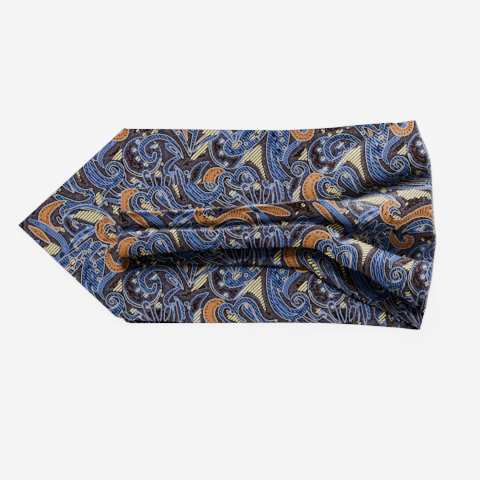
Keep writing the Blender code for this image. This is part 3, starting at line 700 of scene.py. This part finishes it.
# Leaves of cream silk hatched with dark lines: corners of (x, y)
CREAM_LEAVES = (
    ((90, 15), (104, -2), (119, -12), (119.5, 6), (125.5, 29), (117, 12), (108, 4), (99, 7)),
    ((-30, 4), (-20, -9), (-20, 4)),
    ((48, 4), (57, -9), (68, -16), (63, -4), (52, 4)),
    ((58, -23), (72, -32), (66, -22)),
    ((8, -8), (18, -15), (14, -8)),
    ((112, 61), (124, 55), (140, 55.5), (148, 61), (136, 67), (123, 62)),
    ((80, 96), (90, 90), (95, 86.5), (104, 91.5), (100, 98), (88, 99)),
    ((141, 34), (144, 40), (147, 43), (142, 50), (138, 44)),
    ((146, 76), (155, 77), (161, 80), (152, 81)),
    ((15, 14), (20, 17), (16, 21), (12, 17)),
    ((-10, 21), (-5, 22), (-8, 27), (-12, 25)),
    ((157, 52), (162, 54), (161, 58), (156, 57)),
    ((172, 93), (186, 88), (180, 95)),
    ((96, 31), (101, 38), (98, 40), (93, 34)),
    ((52, 28), (60, 20), (57, 36), (52, 36)),
    ((28, 62), (40, 56), (47, 63), (36, 67)),
    ((154, 49), (163, 51), (176, 53), (188, 58), (191, 66), (184, 61), (174, 60), (165, 62), (160, 57)),
    ((89, 30), (93, 26.5), (96, 31), (101, 36.5), (95, 35), (90, 33)),
    ((60, 104), (72, 100), (78, 108), (66, 112)),
    ((40, 86), (48, 90), (42, 96)),
    ((112, 100), (120, 104), (116, 114)),
    ((88, 24), (91, 30), (88, 33), (85, 30)),
)

# Florets: (x, y, radius)
CREAM_DOTS = (
    (2.5, -21, 1.9), (11, -23.5, 1.9), (-4, -14, 1.9), (-7.5, -6, 1.9), (-4, 2.8, 1.9), (4, 8, 2.1),
    (80, -15, 2), (79.5, -3, 1.9), (84, 8, 1.9), (88, -24, 1.8), (106, 74, 2), (115, 84, 2),
    (104, -4, 1.6), (-45, -16, 2), (-50, -28, 2), (-42, -34, 1.8), (120, 92, 2), (128, 96, 1.7),
    (70, 48, 1.9), (62, 72, 1.9), (56, 80, 1.7), (24, 40, 1.8), (32, 36, 1.6), (-14, 52, 1.8),
    (-8, 60, 1.8), (-20, 66, 1.6), (14, 106, 1.8), (8, 98, 1.8), (-4, 106, 1.8),
)
RUST_DOTS = (
    (-47, -22, 1.7), (-52, -36, 1.5), (-43, -8, 1.6), (104, -12, 1.6), (118, -28, 1.4),
    (64, 44, 1.6), (2, 62, 1.6), (36, 108, 1.6), (126, 104, 1.6), (20, 8, 1.4),
)
CLASSES = ("blue", "rust", "cream", "brown", "ribbon", "petal")
FAR_OUTSIDE = 9.0
STROKE_STEPS = 5
STROKE_REACH = 5.5
THINNEST_STROKE = 0.3


def bent_stroke(points):
    """A stroke's points with smooth bends between them."""
    known = np.array(points, float)
    padded = np.concatenate([2 * known[:1] - known[1:2], known, 2 * known[-1:] - known[-2:-1]])
    t = np.arange(STROKE_STEPS)[:, None] / STROKE_STEPS
    pieces = []
    for i in range(len(known) - 1):
        a, b, c, d = padded[i : i + 4]
        bend = 2 * b + (c - a) * t + (2 * a - 5 * b + 4 * c - d) * t**2
        pieces.append(0.5 * (bend + (3 * b - a - 3 * c + d) * t**3))
    fine = np.concatenate(pieces + [known[-1:]])
    fine[:, 2] = np.maximum(fine[:, 2], THINNEST_STROKE)
    return fine


def stroke_distance(fine, x, y):
    """Distance outside a stroke (negative inside), and how far along it the nearest point is."""
    distance = np.full(x.shape, np.inf)
    along = np.zeros(x.shape)
    travelled = 0.0
    for (x0, y0, r0), (x1, y1, r1) in zip(fine, fine[1:]):
        length = np.hypot(x1 - x0, y1 - y0)
        share = ((x - x0) * (x1 - x0) + (y - y0) * (y1 - y0)) / max(length * length, 1e-6)
        share = np.clip(share, 0.0, 1.0)
        off = np.hypot(x - mix(x0, x1, share), y - mix(y0, y1, share)) - mix(r0, r1, share)
        nearer = off < distance
        along = np.where(nearer, travelled + share * length, along)
        distance = np.where(nearer, off, distance)
        travelled += length
    return distance, along


def leaf_distance(corners, x, y):
    """Distance outside a leaf (negative inside)."""
    corners = np.array(corners, float)
    distance = np.full(x.shape, np.inf)
    inside = np.zeros(x.shape, bool)
    for (x0, y0), (x1, y1) in zip(corners, np.roll(corners, -1, axis=0)):
        run = (x1 - x0) ** 2 + (y1 - y0) ** 2
        share = np.clip(((x - x0) * (x1 - x0) + (y - y0) * (y1 - y0)) / run, 0.0, 1.0)
        off = np.hypot(x - mix(x0, x1, share), y - mix(y0, y1, share))
        distance = np.minimum(distance, off)
        crosses = (y0 > y) != (y1 > y)
        level = x0 + (y - y0) * (x1 - x0) / (y1 - y0 if y1 != y0 else 1.0)
        inside ^= crosses & (x < level)
    return np.where(inside, -distance, distance)


def lay_motif(cloth, kind, near, distance, along=None):
    """Puts one motif over those already there: where it lies, nothing else shows."""
    for other in CLASSES:
        field = cloth[other]
        if other == kind:
            field[near] = np.minimum(field[near], distance)
        else:
            field[near] = np.maximum(field[near], -distance)
    if along is not None:
        covered = near[distance < STROKE_REACH]
        cloth["along"][covered] = along[distance < STROKE_REACH]


def paisley(u, v):
    """The woven pattern at each point of a sheet, as distances to the edges of its colours."""
    x = u.ravel() / CHART_STEP
    y = -v.ravel() / CHART_STEP
    cloth = {kind: np.full(x.shape, FAR_OUTSIDE) for kind in CLASSES}
    cloth["along"] = np.zeros(x.shape)

    def around(points, reach):
        points = np.array(points, float)
        centre = (points.min(axis=0) + points.max(axis=0)) / 2
        half = (points.max(axis=0) - points.min(axis=0)) / 2 + reach
        dx = (x - centre[0] + CHART_SIZE[0] / 2) % CHART_SIZE[0] - CHART_SIZE[0] / 2
        dy = (y - centre[1] + CHART_SIZE[1] / 2) % CHART_SIZE[1] - CHART_SIZE[1] / 2
        near = np.flatnonzero((np.abs(dx) < half[0]) & (np.abs(dy) < half[1]))
        return near, dx[near] + centre[0], dy[near] + centre[1]

    for kind, points in STROKES:
        fine = bent_stroke(points)
        near, px, py = around(fine[:, :2], fine[:, 2].max() + STROKE_REACH)
        distance, along = stroke_distance(fine, px, py)
        lay_motif(cloth, kind, near, distance, along)
    for corners in CREAM_LEAVES:
        near, px, py = around(corners, STROKE_REACH)
        lay_motif(cloth, "cream", near, leaf_distance(corners, px, py))
    for kind, dots in (("cream", CREAM_DOTS), ("rust", RUST_DOTS)):
        for cx, cy, radius in dots:
            near, px, py = around([(cx, cy)], radius + STROKE_REACH)
            lay_motif(cloth, kind, near, np.hypot(px - cx, py - cy) - radius)
    return cloth


CLOTH_UV = "cloth"
UV_PER_MM = 0.01
SHARP_EDGE = np.radians(50.0)


def colour_of(code):
    """A linear colour from its usual six-digit code."""
    parts = np.array([(code >> shift) & 255 for shift in (16, 8, 0)]) / 255.0
    low = parts / 12.92
    return tuple(float(c) for c in np.where(parts <= 0.04045, low, ((parts + 0.055) / 1.055) ** 2.4))


def weave_into(mesh, u, v):
    """Writes the cloth's own u and v, and the paisley, onto a mesh's points."""
    for name, values in paisley(u, v).items():
        layer = mesh.attributes.new(name, "FLOAT", "POINT")
        layer.data.foreach_set("value", (values * CHART_STEP).astype(np.float32))
    corners = np.empty(len(mesh.loops), np.int32)
    mesh.loops.foreach_get("vertex_index", corners)
    uv = np.stack([u.ravel(), v.ravel()], axis=-1)[corners] * UV_PER_MM
    layer = mesh.uv_layers.active or mesh.uv_layers.new(name=CLOTH_UV)
    layer.name = CLOTH_UV
    layer.data.foreach_set("uv", uv.astype(np.float32).ravel())


def pick(piece):
    """Selects the piece alone, and makes it the active one."""
    bpy.ops.object.select_all(action="DESELECT")
    piece.select_set(True)
    bpy.context.view_layer.objects.active = piece


def smooth_faces(piece):
    pick(piece)
    bpy.ops.object.shade_smooth_by_angle(angle=float(SHARP_EDGE))


def woven_sheet(name, grid, u, v, wall):
    """A thin sheet of cloth round the grid of its middle points."""
    rows, lines = grid.shape[:2]
    bpy.ops.object.select_all(action="DESELECT")
    bpy.ops.mesh.primitive_grid_add(x_subdivisions=lines - 1, y_subdivisions=rows - 1, size=1.0)
    sheet = bpy.context.active_object
    sheet.name = name
    mesh = sheet.data
    if len(mesh.vertices) != rows * lines:
        raise RuntimeError(f"{name}: the grid has {len(mesh.vertices)} points, not {rows * lines}")
    mesh.vertices.foreach_set("co", (grid * MM).astype(np.float32).ravel())
    weave_into(mesh, u, v)
    mesh.update()
    thickness = sheet.modifiers.new("cloth thickness", "SOLIDIFY")
    thickness.thickness = wall
    thickness.offset = 0.0
    bpy.ops.object.modifier_apply(modifier=thickness.name)
    smooth_faces(sheet)
    return sheet


def layered_roll(name, outer, inner, u, v):
    """A closed roll of cloth between its outer and inner points, its free edges in layers."""
    lines = outer.shape[1]
    inside = np.unique(np.append(np.arange(0, lines, INNER_FACE_STRIDE), lines - 1))[::-1]
    rim = 2 * EDGE_LAYERS - 1

    def all_round(row):
        return [*row, *[row[-1]] * rim, *row[inside], *[row[0]] * rim]

    points = np.array([
        [
            *upper, *layered_edge(upper[::-1], lower[::-1]),
            *lower[inside], *layered_edge(upper, lower)[::-1],
        ]
        for upper, lower in zip(outer, inner)
    ])
    rows, around = points.shape[:2]
    here = np.arange(rows - 1)[:, None] * around
    k = np.arange(around)[None, :]
    following = (k + 1) % around
    faces = np.stack([here + k, here + following, here + following + around, here + k + around], -1)
    faces = faces.reshape(-1, 4).tolist()
    faces.append(list(range(around))[::-1])
    faces.append(list(range((rows - 1) * around, rows * around)))
    mesh = bpy.data.meshes.new(name)
    mesh.from_pydata((points.reshape(-1, 3) * MM).tolist(), [], faces)
    weave_into(mesh, *(np.array([all_round(row) for row in places]) for places in (u, v)))
    roll = bpy.data.objects.new(name, mesh)
    bpy.context.scene.collection.objects.link(roll)
    pick(roll)
    bpy.ops.object.mode_set(mode="EDIT")
    bpy.ops.mesh.select_all(action="SELECT")
    bpy.ops.mesh.normals_make_consistent(inside=False)
    bpy.ops.object.mode_set(mode="OBJECT")
    smooth_faces(roll)
    return roll


class Weaver:
    """Builds a material's nodes."""

    def __init__(self, name):
        self.material = bpy.data.materials.new(name)
        self.material.use_nodes = True
        self.material.node_tree.nodes.clear()
        self.uv = self.node("ShaderNodeUVMap", {}, uv_map=CLOTH_UV).outputs["UV"]
        split = self.node("ShaderNodeSeparateXYZ", {0: self.uv})
        self.u = split.outputs["X"]
        self.v = split.outputs["Y"]

    def node(self, kind, inputs, **settings):
        """A new node, with its settings, and with its inputs set or linked."""
        tree = self.material.node_tree
        node = tree.nodes.new(kind)
        for name, value in settings.items():
            setattr(node, name, value)
        for key, value in inputs.items():
            if isinstance(value, bpy.types.NodeSocket):
                tree.links.new(value, node.inputs[key])
            else:
                node.inputs[key].default_value = value
        return node

    def math(self, operation, a, b=0.0, c=0.0):
        return self.node("ShaderNodeMath", {0: a, 1: b, 2: c}, operation=operation).outputs[0]

    def field(self, name):
        return self.node("ShaderNodeAttribute", {}, attribute_name=name).outputs["Fac"]

    def below(self, value, edge, soft):
        """1 where the value is below the edge, 0 above it."""
        ends = {"From Min": edge - soft, "From Max": edge + soft, "To Min": 1.0, "To Max": 0.0}
        step = self.node("ShaderNodeMapRange", {"Value": value, **ends}, interpolation_type="SMOOTHSTEP")
        return step.outputs["Result"]

    def above(self, value, edge, soft):
        return self.math("SUBTRACT", 1.0, self.below(value, edge, soft))

    def band(self, value, low, high, soft):
        return self.math("SUBTRACT", self.below(value, high, soft), self.below(value, low, soft))

    def both(self, a, b):
        return self.math("MULTIPLY", a, b)

    def turn(self, value, pitch):
        """0 to 1 within each pitch."""
        return self.math("FRACT", self.math("DIVIDE", value, pitch))

    def noise(self, scale, detail, stretch=1.0):
        place = self.node("ShaderNodeMapping", {"Vector": self.uv, "Scale": (1.0, stretch, 1.0)})
        settings = {"Vector": place.outputs["Vector"], "Scale": scale, "Detail": detail}
        return self.node("ShaderNodeTexNoise", settings).outputs["Fac"]

    def stripes(self, rise, pitch):
        """Diagonal lines, 0 to 1: rise is 1 where they climb to the right, -1 where they fall."""
        across = self.math("MULTIPLY_ADD", self.v, -float(rise), self.u)
        turns = self.math("MULTIPLY", across, 2 * np.pi / (pitch * UV_PER_MM * np.sqrt(2.0)))
        return self.math("MULTIPLY_ADD", self.math("SINE", turns), 0.5, 0.5)

    def checks(self, pitch):
        """Rows of dots, -1 to 1."""
        turn = 2 * np.pi / (pitch * UV_PER_MM)
        along = self.math("SINE", self.math("MULTIPLY", self.u, turn))
        return self.both(along, self.math("SINE", self.math("MULTIPLY", self.v, turn)))

    def blend(self, share, under, over):
        """One colour over another, as far as the share goes."""
        under, over = (
            colour if isinstance(colour, bpy.types.NodeSocket) else (*colour, 1.0)
            for colour in (under, over)
        )
        inputs = {"Factor": share, "A": under, "B": over}
        return self.node("ShaderNodeMix", inputs, data_type="RGBA").outputs["Result"]

    def fill(self, under, distance, over, edge=0.0):
        """Colour inside a motif's edge."""
        return self.blend(self.below(distance, edge, EDGE_SOFT), under, over)

    def line(self, under, distance, band, over):
        """A line of colour along a motif's edge."""
        return self.blend(self.band(distance, *band, EDGE_SOFT), under, over)


# Lines along a motif's edge, in millimetres, below zero inside it
EDGE_SOFT = 0.12
OUTLINE = (-0.36, 0.06)
INNER_LINE = (-0.85, -0.36)
BROWN_RIM = (-0.95, 0.0)
BROWN_LINE = (-0.20, 0.18)
RUST_LINE = (-0.22, 0.16)
PETAL_LINE = (-0.5, 0.05)
CREAM_EDGE = -0.1
RIM_BAND = (0.25, 0.75)
ECHO_BAND = (1.15, 1.65)
SECOND_ECHO_BAND = (3.1, 3.6)
ECHO_SOFT = 0.12
DOT_BAND = (1.9, 3.0)
DOT_SOFT = 0.2
NOTCH_BAND = (-2.3, -0.9)
ARC_EDGE = -1.0
RUNG_EDGE = -0.8
CONTOURED = (-8.5, 0.2)
CONTOURED_SOFT = 0.15

# Pitches, in millimetres, and the noises' scale, detail and stretch across the cloth
CONTOUR_PITCH = 3.3
DOT_PITCH = 1.7
NOTCH_PITCH = 1.9
RUNG_PITCH = 1.5
ARC_PITCH = 2.6
SPECKLE_NOISE = (78.0, 2.0)
FLECK_NOISE = (30.0, 3.0)
MOTTLE_NOISE = (8.0, 4.0)
LUSTRE_NOISE = (8.0, 2.0, 3.0)

# Which part of a pitch or a noise is coloured: one edge or two, and how soft
DARK_CONTOUR = (0.82, 0.97, 0.04)
PALE_CONTOUR = (0.12, 0.04)
ARCS = (0.55, 0.80, 0.10)
NOTCHES = (0.45, 0.10)
RUNGS = (0.48, 0.10)
CHECKS = (-0.1, 0.25)
TWILL = (0.54, 0.10)
THIN_TWILL = (0.45, 0.15)
HATCH = (0.54, 0.10)
GRAIN = (0.45, 0.03)
MOTTLE = (0.45, 0.10)
GROUND_DOTS = (0.60, 0.02)
BROWN_DOTS = (0.61, 0.015)
FLECKS = (0.43, 0.04)
RUST_MOTTLE = (0.47, 0.08)
BEADS = (0.51, 0.04)

# How strongly each is woven in
GRAIN_SHARE = 0.75
ECHO_SHARE = 0.8
DOTTED_SHARE = 0.75
ARC_SHARE = 0.5
RUST_MOTTLE_SHARE = 0.6
NOTCH_SHARE = 0.9
RUNG_SHARE = 0.9
BEAD_SHARE = 0.6
ROUGHNESS_SPREAD = 0.16
TWILL_RELIEF = 0.5

# How the threads stand out in metres and catch the light
THREAD_RELIEF = 0.0002
BUMP_STRENGTH = 0.35
SHEEN_ROUGHNESS = 0.4


def paisley_silk(name, silk):
    """Jacquard silk: each colour of the paisley, its outlines, and the threads that show."""
    w = Weaver(name)
    blue, rust, cream, brown, ribbon, petal = (w.field(kind) for kind in CLASSES)
    along = w.field("along")
    twill = w.stripes(-1, silk.thread_pitch * MM_IN_METRE)
    hatch = w.stripes(1, silk.hatch_pitch * MM_IN_METRE)
    mottle = w.noise(*MOTTLE_NOISE)
    speckle = w.noise(*SPECKLE_NOISE)
    fleck = w.noise(*FLECK_NOISE)
    dark, brown_silk, blue_silk = silk.ground_colour, silk.brown_colour, silk.blue_colour
    shade, dot, outline = silk.blue_shade_colour, silk.speckle_colour, silk.outline_colour
    grain = w.both(w.below(speckle, *GRAIN), GRAIN_SHARE)

    ground = w.blend(w.below(mottle, *MOTTLE), brown_silk, dark)
    ground = w.blend(grain, ground, dark)
    ground = w.blend(w.above(speckle, *GROUND_DOTS), ground, dot)
    nearest = w.math("MINIMUM", w.math("MINIMUM", blue, rust), w.math("MINIMUM", ribbon, brown))
    echo = w.band(nearest, *ECHO_BAND, ECHO_SOFT)
    ground = w.blend(w.both(echo, ECHO_SHARE), ground, silk.echo_colour)
    dotted = w.both(w.band(nearest, *DOT_BAND, DOT_SOFT), w.below(w.checks(DOT_PITCH), *CHECKS))
    dotted = w.math("MAXIMUM", dotted, w.band(nearest, *SECOND_ECHO_BAND, ECHO_SOFT))
    ground = w.blend(w.both(dotted, DOTTED_SHARE), ground, dot)

    brown_fill = w.blend(w.below(fleck, *FLECKS), brown_silk, dark)
    brown_fill = w.blend(grain, brown_fill, dark)
    brown_fill = w.blend(w.above(speckle, *BROWN_DOTS), brown_fill, dot)
    arcs = w.both(w.band(w.turn(brown, -ARC_PITCH), *ARCS), w.below(brown, ARC_EDGE, EDGE_SOFT))
    brown_fill = w.blend(w.both(arcs, ARC_SHARE), brown_fill, dot)
    colour = w.fill(ground, brown, brown_fill)
    thin = w.blend(w.below(twill, *THIN_TWILL), blue_silk, shade)
    colour = w.line(colour, brown, BROWN_RIM, thin)
    colour = w.line(colour, brown, BROWN_LINE, outline)

    cream_fill = w.blend(w.below(hatch, *HATCH), silk.cream_colour, dark)
    colour = w.fill(colour, cream, cream_fill, CREAM_EDGE)

    rust_mottle = w.both(w.below(speckle, *RUST_MOTTLE), RUST_MOTTLE_SHARE)
    rust_fill = w.blend(rust_mottle, silk.rust_colour, silk.rust_shade_colour)
    notch = w.below(w.turn(along, NOTCH_PITCH), *NOTCHES)
    notch = w.both(notch, w.band(rust, *NOTCH_BAND, EDGE_SOFT))
    rust_fill = w.blend(w.both(notch, NOTCH_SHARE), rust_fill, dark)
    colour = w.fill(colour, rust, rust_fill)
    colour = w.line(colour, rust, RUST_LINE, silk.pale_colour)

    blue_fill = w.blend(w.below(twill, *TWILL), blue_silk, shade)
    blue_fill = w.blend(grain, blue_fill, shade)
    turn = w.turn(blue, -CONTOUR_PITCH)
    shallow = w.band(blue, *CONTOURED, CONTOURED_SOFT)
    blue_fill = w.blend(w.both(w.band(turn, *DARK_CONTOUR), shallow), blue_fill, shade)
    blue_fill = w.blend(w.both(w.below(turn, *PALE_CONTOUR), shallow), blue_fill, outline)
    colour = w.line(colour, blue, RIM_BAND, dark)
    colour = w.fill(colour, blue, blue_fill)
    colour = w.line(colour, blue, INNER_LINE, shade)
    beads = w.math("MULTIPLY_ADD", w.below(speckle, *BEADS), BEAD_SHARE, 1.0 - BEAD_SHARE)
    colour = w.blend(w.both(beads, w.band(blue, *OUTLINE, EDGE_SOFT)), colour, silk.pale_colour)

    rung = w.below(w.turn(along, RUNG_PITCH), *RUNGS)
    rung = w.both(rung, w.below(ribbon, RUNG_EDGE, EDGE_SOFT))
    rung = w.math("MAXIMUM", rung, w.band(ribbon, *INNER_LINE, EDGE_SOFT))
    ribbon_fill = w.blend(w.both(rung, RUNG_SHARE), blue_silk, dark)
    ribbon_fill = w.line(ribbon_fill, ribbon, OUTLINE, outline)
    colour = w.fill(colour, ribbon, ribbon_fill)
    colour = w.fill(colour, petal, ground)
    colour = w.line(colour, petal, PETAL_LINE, outline)

    lustre = w.noise(*LUSTRE_NOISE)
    roughness = w.math("MULTIPLY_ADD", lustre, ROUGHNESS_SPREAD, silk.roughness - ROUGHNESS_SPREAD / 2)
    height = w.math("MULTIPLY_ADD", twill, TWILL_RELIEF, speckle)
    bump = w.node("ShaderNodeBump", {
        "Strength": BUMP_STRENGTH, "Distance": THREAD_RELIEF, "Height": height,
    })
    shader = w.node("ShaderNodeBsdfPrincipled", {
        "Base Color": colour, "Roughness": roughness, "Normal": bump.outputs["Normal"],
        "Specular IOR Level": silk.lustre, "Sheen Weight": silk.sheen,
        "Sheen Roughness": SHEEN_ROUGHNESS,
    })
    w.node("ShaderNodeOutputMaterial", {"Surface": shader.outputs[0]})
    return w.material


def colour_setting(name, description, code):
    return FloatVectorProperty(
        name=name, description=description, default=colour_of(code), size=3, min=0.0, max=1.0,
        subtype="COLOR",
    )


def length_setting(name, description, default):
    return FloatProperty(name=name, description=description, default=default, min=0.0, unit="LENGTH")


class CravatSilk(PropertyGroup):
    """The silk: how thick and how finely woven it is, and its colours."""

    wall: length_setting("Cloth thickness", "Thickness of the folded silk and its lining", 0.0010)
    spacing: length_setting("Mesh spacing", "Distance between the points of the sheets", 0.0011)
    hidden_spacing: length_setting("Hidden spacing", "The same, on the blade beneath", 0.0030)
    thread_pitch: length_setting("Twill pitch", "Distance between twill lines on blue", 0.0018)
    hatch_pitch: length_setting("Hatch pitch", "Distance between dark lines on cream", 0.0019)
    roughness: FloatProperty(name="Roughness", description="Of the silk's face", default=0.36)
    lustre: FloatProperty(name="Lustre", description="Strength of the gloss", default=0.06)
    sheen: FloatProperty(name="Sheen", description="Soft light at grazing angles", default=0.01)
    ground_colour: colour_setting("Ground", "Darkest threads", 0x050406)
    brown_colour: colour_setting("Brown", "Brown ground and dark leaves", 0x29120B)
    echo_colour: colour_setting("Echo line", "Fine line round motifs", 0x3E3846)
    speckle_colour: colour_setting("Speckle", "Fine dots of the ground", 0x5A5460)
    blue_colour: colour_setting("Blue", "Paisley strokes", 0x586CB0)
    blue_shade_colour: colour_setting("Blue shade", "Between twill lines", 0x07080F)
    outline_colour: colour_setting("Inner lines", "Pale lines within the blue", 0x7C8AB4)
    pale_colour: colour_setting("Outline", "Palest lines round motifs", 0xB0ACA8)
    rust_colour: colour_setting("Rust", "Hooks and bands", 0xB27242)
    rust_shade_colour: colour_setting("Rust shade", "Mottling of the rust", 0x5B361D)
    cream_colour: colour_setting("Cream", "Leaves and florets", 0xFFF0A4)


class CravatStage(PropertyGroup):
    """The camera, the light and the table."""

    view_width: length_setting("View width", "Width of the picture on the table", 0.3792)
    camera_height: length_setting("Camera height", "Above the table", 2.4)
    table_size: length_setting("Table size", "Side of the pale table", 4.0)
    table_colour: colour_setting("Table", "Plain pale surface", 0xF4F4F4)
    table_glow: FloatProperty(name="Table glow", description="As of a light table", default=6.0)
    key_power: FloatProperty(name="Key light", description="Power of the soft box", default=404.0)
    side_power: FloatProperty(name="Side lights", description="Power of each", default=2.4)
    fill_power: FloatProperty(name="World light", description="Strength all round", default=0.050)


def settle(piece, silk, node, slot, **sheet):
    """Gives a sheet its silk, hides the solid that it replaces, and hangs it from the root."""
    piece.data.materials.clear()
    piece.data.materials.append(paisley_silk(f"{node}_paisley", silk))
    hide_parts(node)
    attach(piece, "root")
    return {"FINISHED"}


# Flat cuts (width, length) in metres, and flat areas in square metres
BLADE_CUT = (0.162, 0.294)
BLADE_AREA = 0.0389
RUN_CUT = (0.162, 0.290)
RUN_AREA = 0.0310
UNDER_CUT = (0.162, 0.276)
UNDER_AREA = 0.0244


class CRAVAT_OT_lower_blade(Operator):
    """Lay the blade that rests on the table"""

    bl_idname = "cravat.lower_blade"
    bl_label = "Lower blade"

    def execute(self, context):
        silk = context.scene.cravat_silk
        grid, u, v = blade_grid(LOWER_BLADE, LOWER_BLADE_Z, silk.hidden_spacing * MM_IN_METRE)
        piece = woven_sheet("lower_blade_silk", grid, u, v, silk.wall)
        return settle(piece, silk, "lower_blade", "paisley_silk_under",
                      flat=BLADE_CUT, held="laid", rests_on=["floor"], area=BLADE_AREA)


class CRAVAT_OT_upper_blade(Operator):
    """Lay the pointed blade that shows, with its soft creases"""

    bl_idname = "cravat.upper_blade"
    bl_label = "Upper blade"

    def execute(self, context):
        silk = context.scene.cravat_silk
        grid, u, v = blade_grid(UPPER_BLADE, UPPER_BLADE_Z, silk.spacing * MM_IN_METRE)
        grid = creased(grid, BLADE_CREASES, len(grid))
        piece = woven_sheet("upper_blade_silk", grid, u, v, silk.wall)
        return settle(piece, silk, "upper_blade", "paisley_silk_blade",
                      flat=BLADE_CUT, held="laid", rests_on=["lower_blade_silk"], area=BLADE_AREA)


class CRAVAT_OT_under_run(Operator):
    """Lay the rolled run that shows below the pleated one"""

    bl_idname = "cravat.under_run"
    bl_label = "Under run"

    def execute(self, context):
        silk = context.scene.cravat_silk
        outer, inner, u, v = under_run_faces(silk.spacing * MM_IN_METRE)
        piece = layered_roll("under_run_silk", outer, inner, u, v)
        return settle(piece, silk, "under_run", "paisley_silk_under",
                      flat=UNDER_CUT, held="folded", rests_on=["upper_blade_silk"], area=UNDER_AREA)


class CRAVAT_OT_upper_run(Operator):
    """Lay the pleated neckband and the fan that it opens into"""

    bl_idname = "cravat.upper_run"
    bl_label = "Upper run"

    def execute(self, context):
        silk = context.scene.cravat_silk
        grid, u, v = upper_run_grid(silk.spacing * MM_IN_METRE)
        piece = woven_sheet("upper_run_silk", grid, u, v, silk.wall)
        return settle(piece, silk, "upper_run", "paisley_silk_run",
                      flat=RUN_CUT, held="folded", rests_on=["under_run_silk"], area=RUN_AREA)


# The stage, in metres, and the sensor in millimetres
VIEW_CENTRE = (0.01019, -0.01205)
SENSOR_WIDTH = 36.0
FAR_CLIP = 20.0
KEY_PLACE = (-0.40, 2.94, 1.30)
KEY_SIZE = 1.2
LEFT_PLACE = (-1.1, 0.1, 0.8)
RIGHT_PLACE = (1.2, 0.5, 0.8)
SIDE_SIZE = 0.6
TABLE_ROUGHNESS = 0.9


def plain_material(name, colour, roughness):
    material = bpy.data.materials.new(name)
    material.use_nodes = True
    shader = material.node_tree.nodes["Principled BSDF"]
    shader.inputs["Base Color"].default_value = (*colour, 1.0)
    shader.inputs["Roughness"].default_value = roughness
    return material


def soft_box(name, place, size, power, aim):
    light = bpy.data.lights.new(name, "AREA")
    light.shape = "SQUARE"
    light.size = size
    light.energy = power
    lamp = bpy.data.objects.new(name, light)
    bpy.context.scene.collection.objects.link(lamp)
    lamp.location = place
    lamp.rotation_euler = (Vector(aim) - Vector(place)).to_track_quat("-Z", "Y").to_euler()


class CRAVAT_OT_stage(Operator):
    """Set the table, the soft light and the camera above"""

    bl_idname = "cravat.stage"
    bl_label = "Stage"

    def execute(self, context):
        stage = context.scene.cravat_stage
        bpy.ops.object.select_all(action="DESELECT")
        bpy.ops.mesh.primitive_plane_add(size=stage.table_size, location=(0.0, 0.0, 0.0))
        table = context.active_object
        table.name = "floor"
        pale = plain_material("pale_table", stage.table_colour, TABLE_ROUGHNESS)
        shader = pale.node_tree.nodes["Principled BSDF"]
        shader.inputs["Emission Color"].default_value = (1.0, 1.0, 1.0, 1.0)
        shader.inputs["Emission Strength"].default_value = stage.table_glow
        table.data.materials.append(pale)
        centre = (*VIEW_CENTRE, 0.0)
        soft_box("key_box", KEY_PLACE, KEY_SIZE, stage.key_power, centre)
        soft_box("left_box", LEFT_PLACE, SIDE_SIZE, stage.side_power, centre)
        soft_box("right_box", RIGHT_PLACE, SIDE_SIZE, stage.side_power, centre)
        world = bpy.data.worlds.new("studio")
        world.use_nodes = True
        background = world.node_tree.nodes["Background"]
        background.inputs["Color"].default_value = (1.0, 1.0, 1.0, 1.0)
        background.inputs["Strength"].default_value = stage.fill_power
        context.scene.world = world
        lens = bpy.data.cameras.new("camera")
        lens.sensor_width = SENSOR_WIDTH
        lens.lens = SENSOR_WIDTH * stage.camera_height / stage.view_width
        lens.clip_end = FAR_CLIP
        camera = bpy.data.objects.new("camera", lens)
        context.scene.collection.objects.link(camera)
        camera.location = (*VIEW_CENTRE, stage.camera_height)
        context.scene.camera = camera
        return {"FINISHED"}


OPERATORS = (
    CRAVAT_OT_stage,
    CRAVAT_OT_lower_blade,
    CRAVAT_OT_upper_blade,
    CRAVAT_OT_under_run,
    CRAVAT_OT_upper_run,
)


class CRAVAT_PT_panel(Panel):
    """Lists the cravat's pieces and the stage"""

    bl_label = "Folded silk cravat"
    bl_idname = "CRAVAT_PT_panel"
    bl_space_type = "VIEW_3D"
    bl_region_type = "UI"
    bl_category = "Cravat"

    def draw(self, context):
        for group in (context.scene.cravat_silk, context.scene.cravat_stage):
            box = self.layout.box()
            for name in group.__annotations__:
                box.prop(group, name)
        for operator in OPERATORS:
            self.layout.operator(operator.bl_idname)


CLASSES_TO_REGISTER = (CravatSilk, CravatStage, *OPERATORS, CRAVAT_PT_panel)


def register():
    for kind in CLASSES_TO_REGISTER:
        bpy.utils.register_class(kind)
    bpy.types.Scene.cravat_silk = PointerProperty(type=CravatSilk)
    bpy.types.Scene.cravat_stage = PointerProperty(type=CravatStage)


def unregister():
    del bpy.types.Scene.cravat_stage
    del bpy.types.Scene.cravat_silk
    for kind in reversed(CLASSES_TO_REGISTER):
        bpy.utils.unregister_class(kind)


def main():
    register()
    bpy.ops.cravat.stage()
    bpy.ops.cravat.lower_blade()
    bpy.ops.cravat.upper_blade()
    bpy.ops.cravat.under_run()
    bpy.ops.cravat.upper_run()


if __name__ == "__main__":
    main()
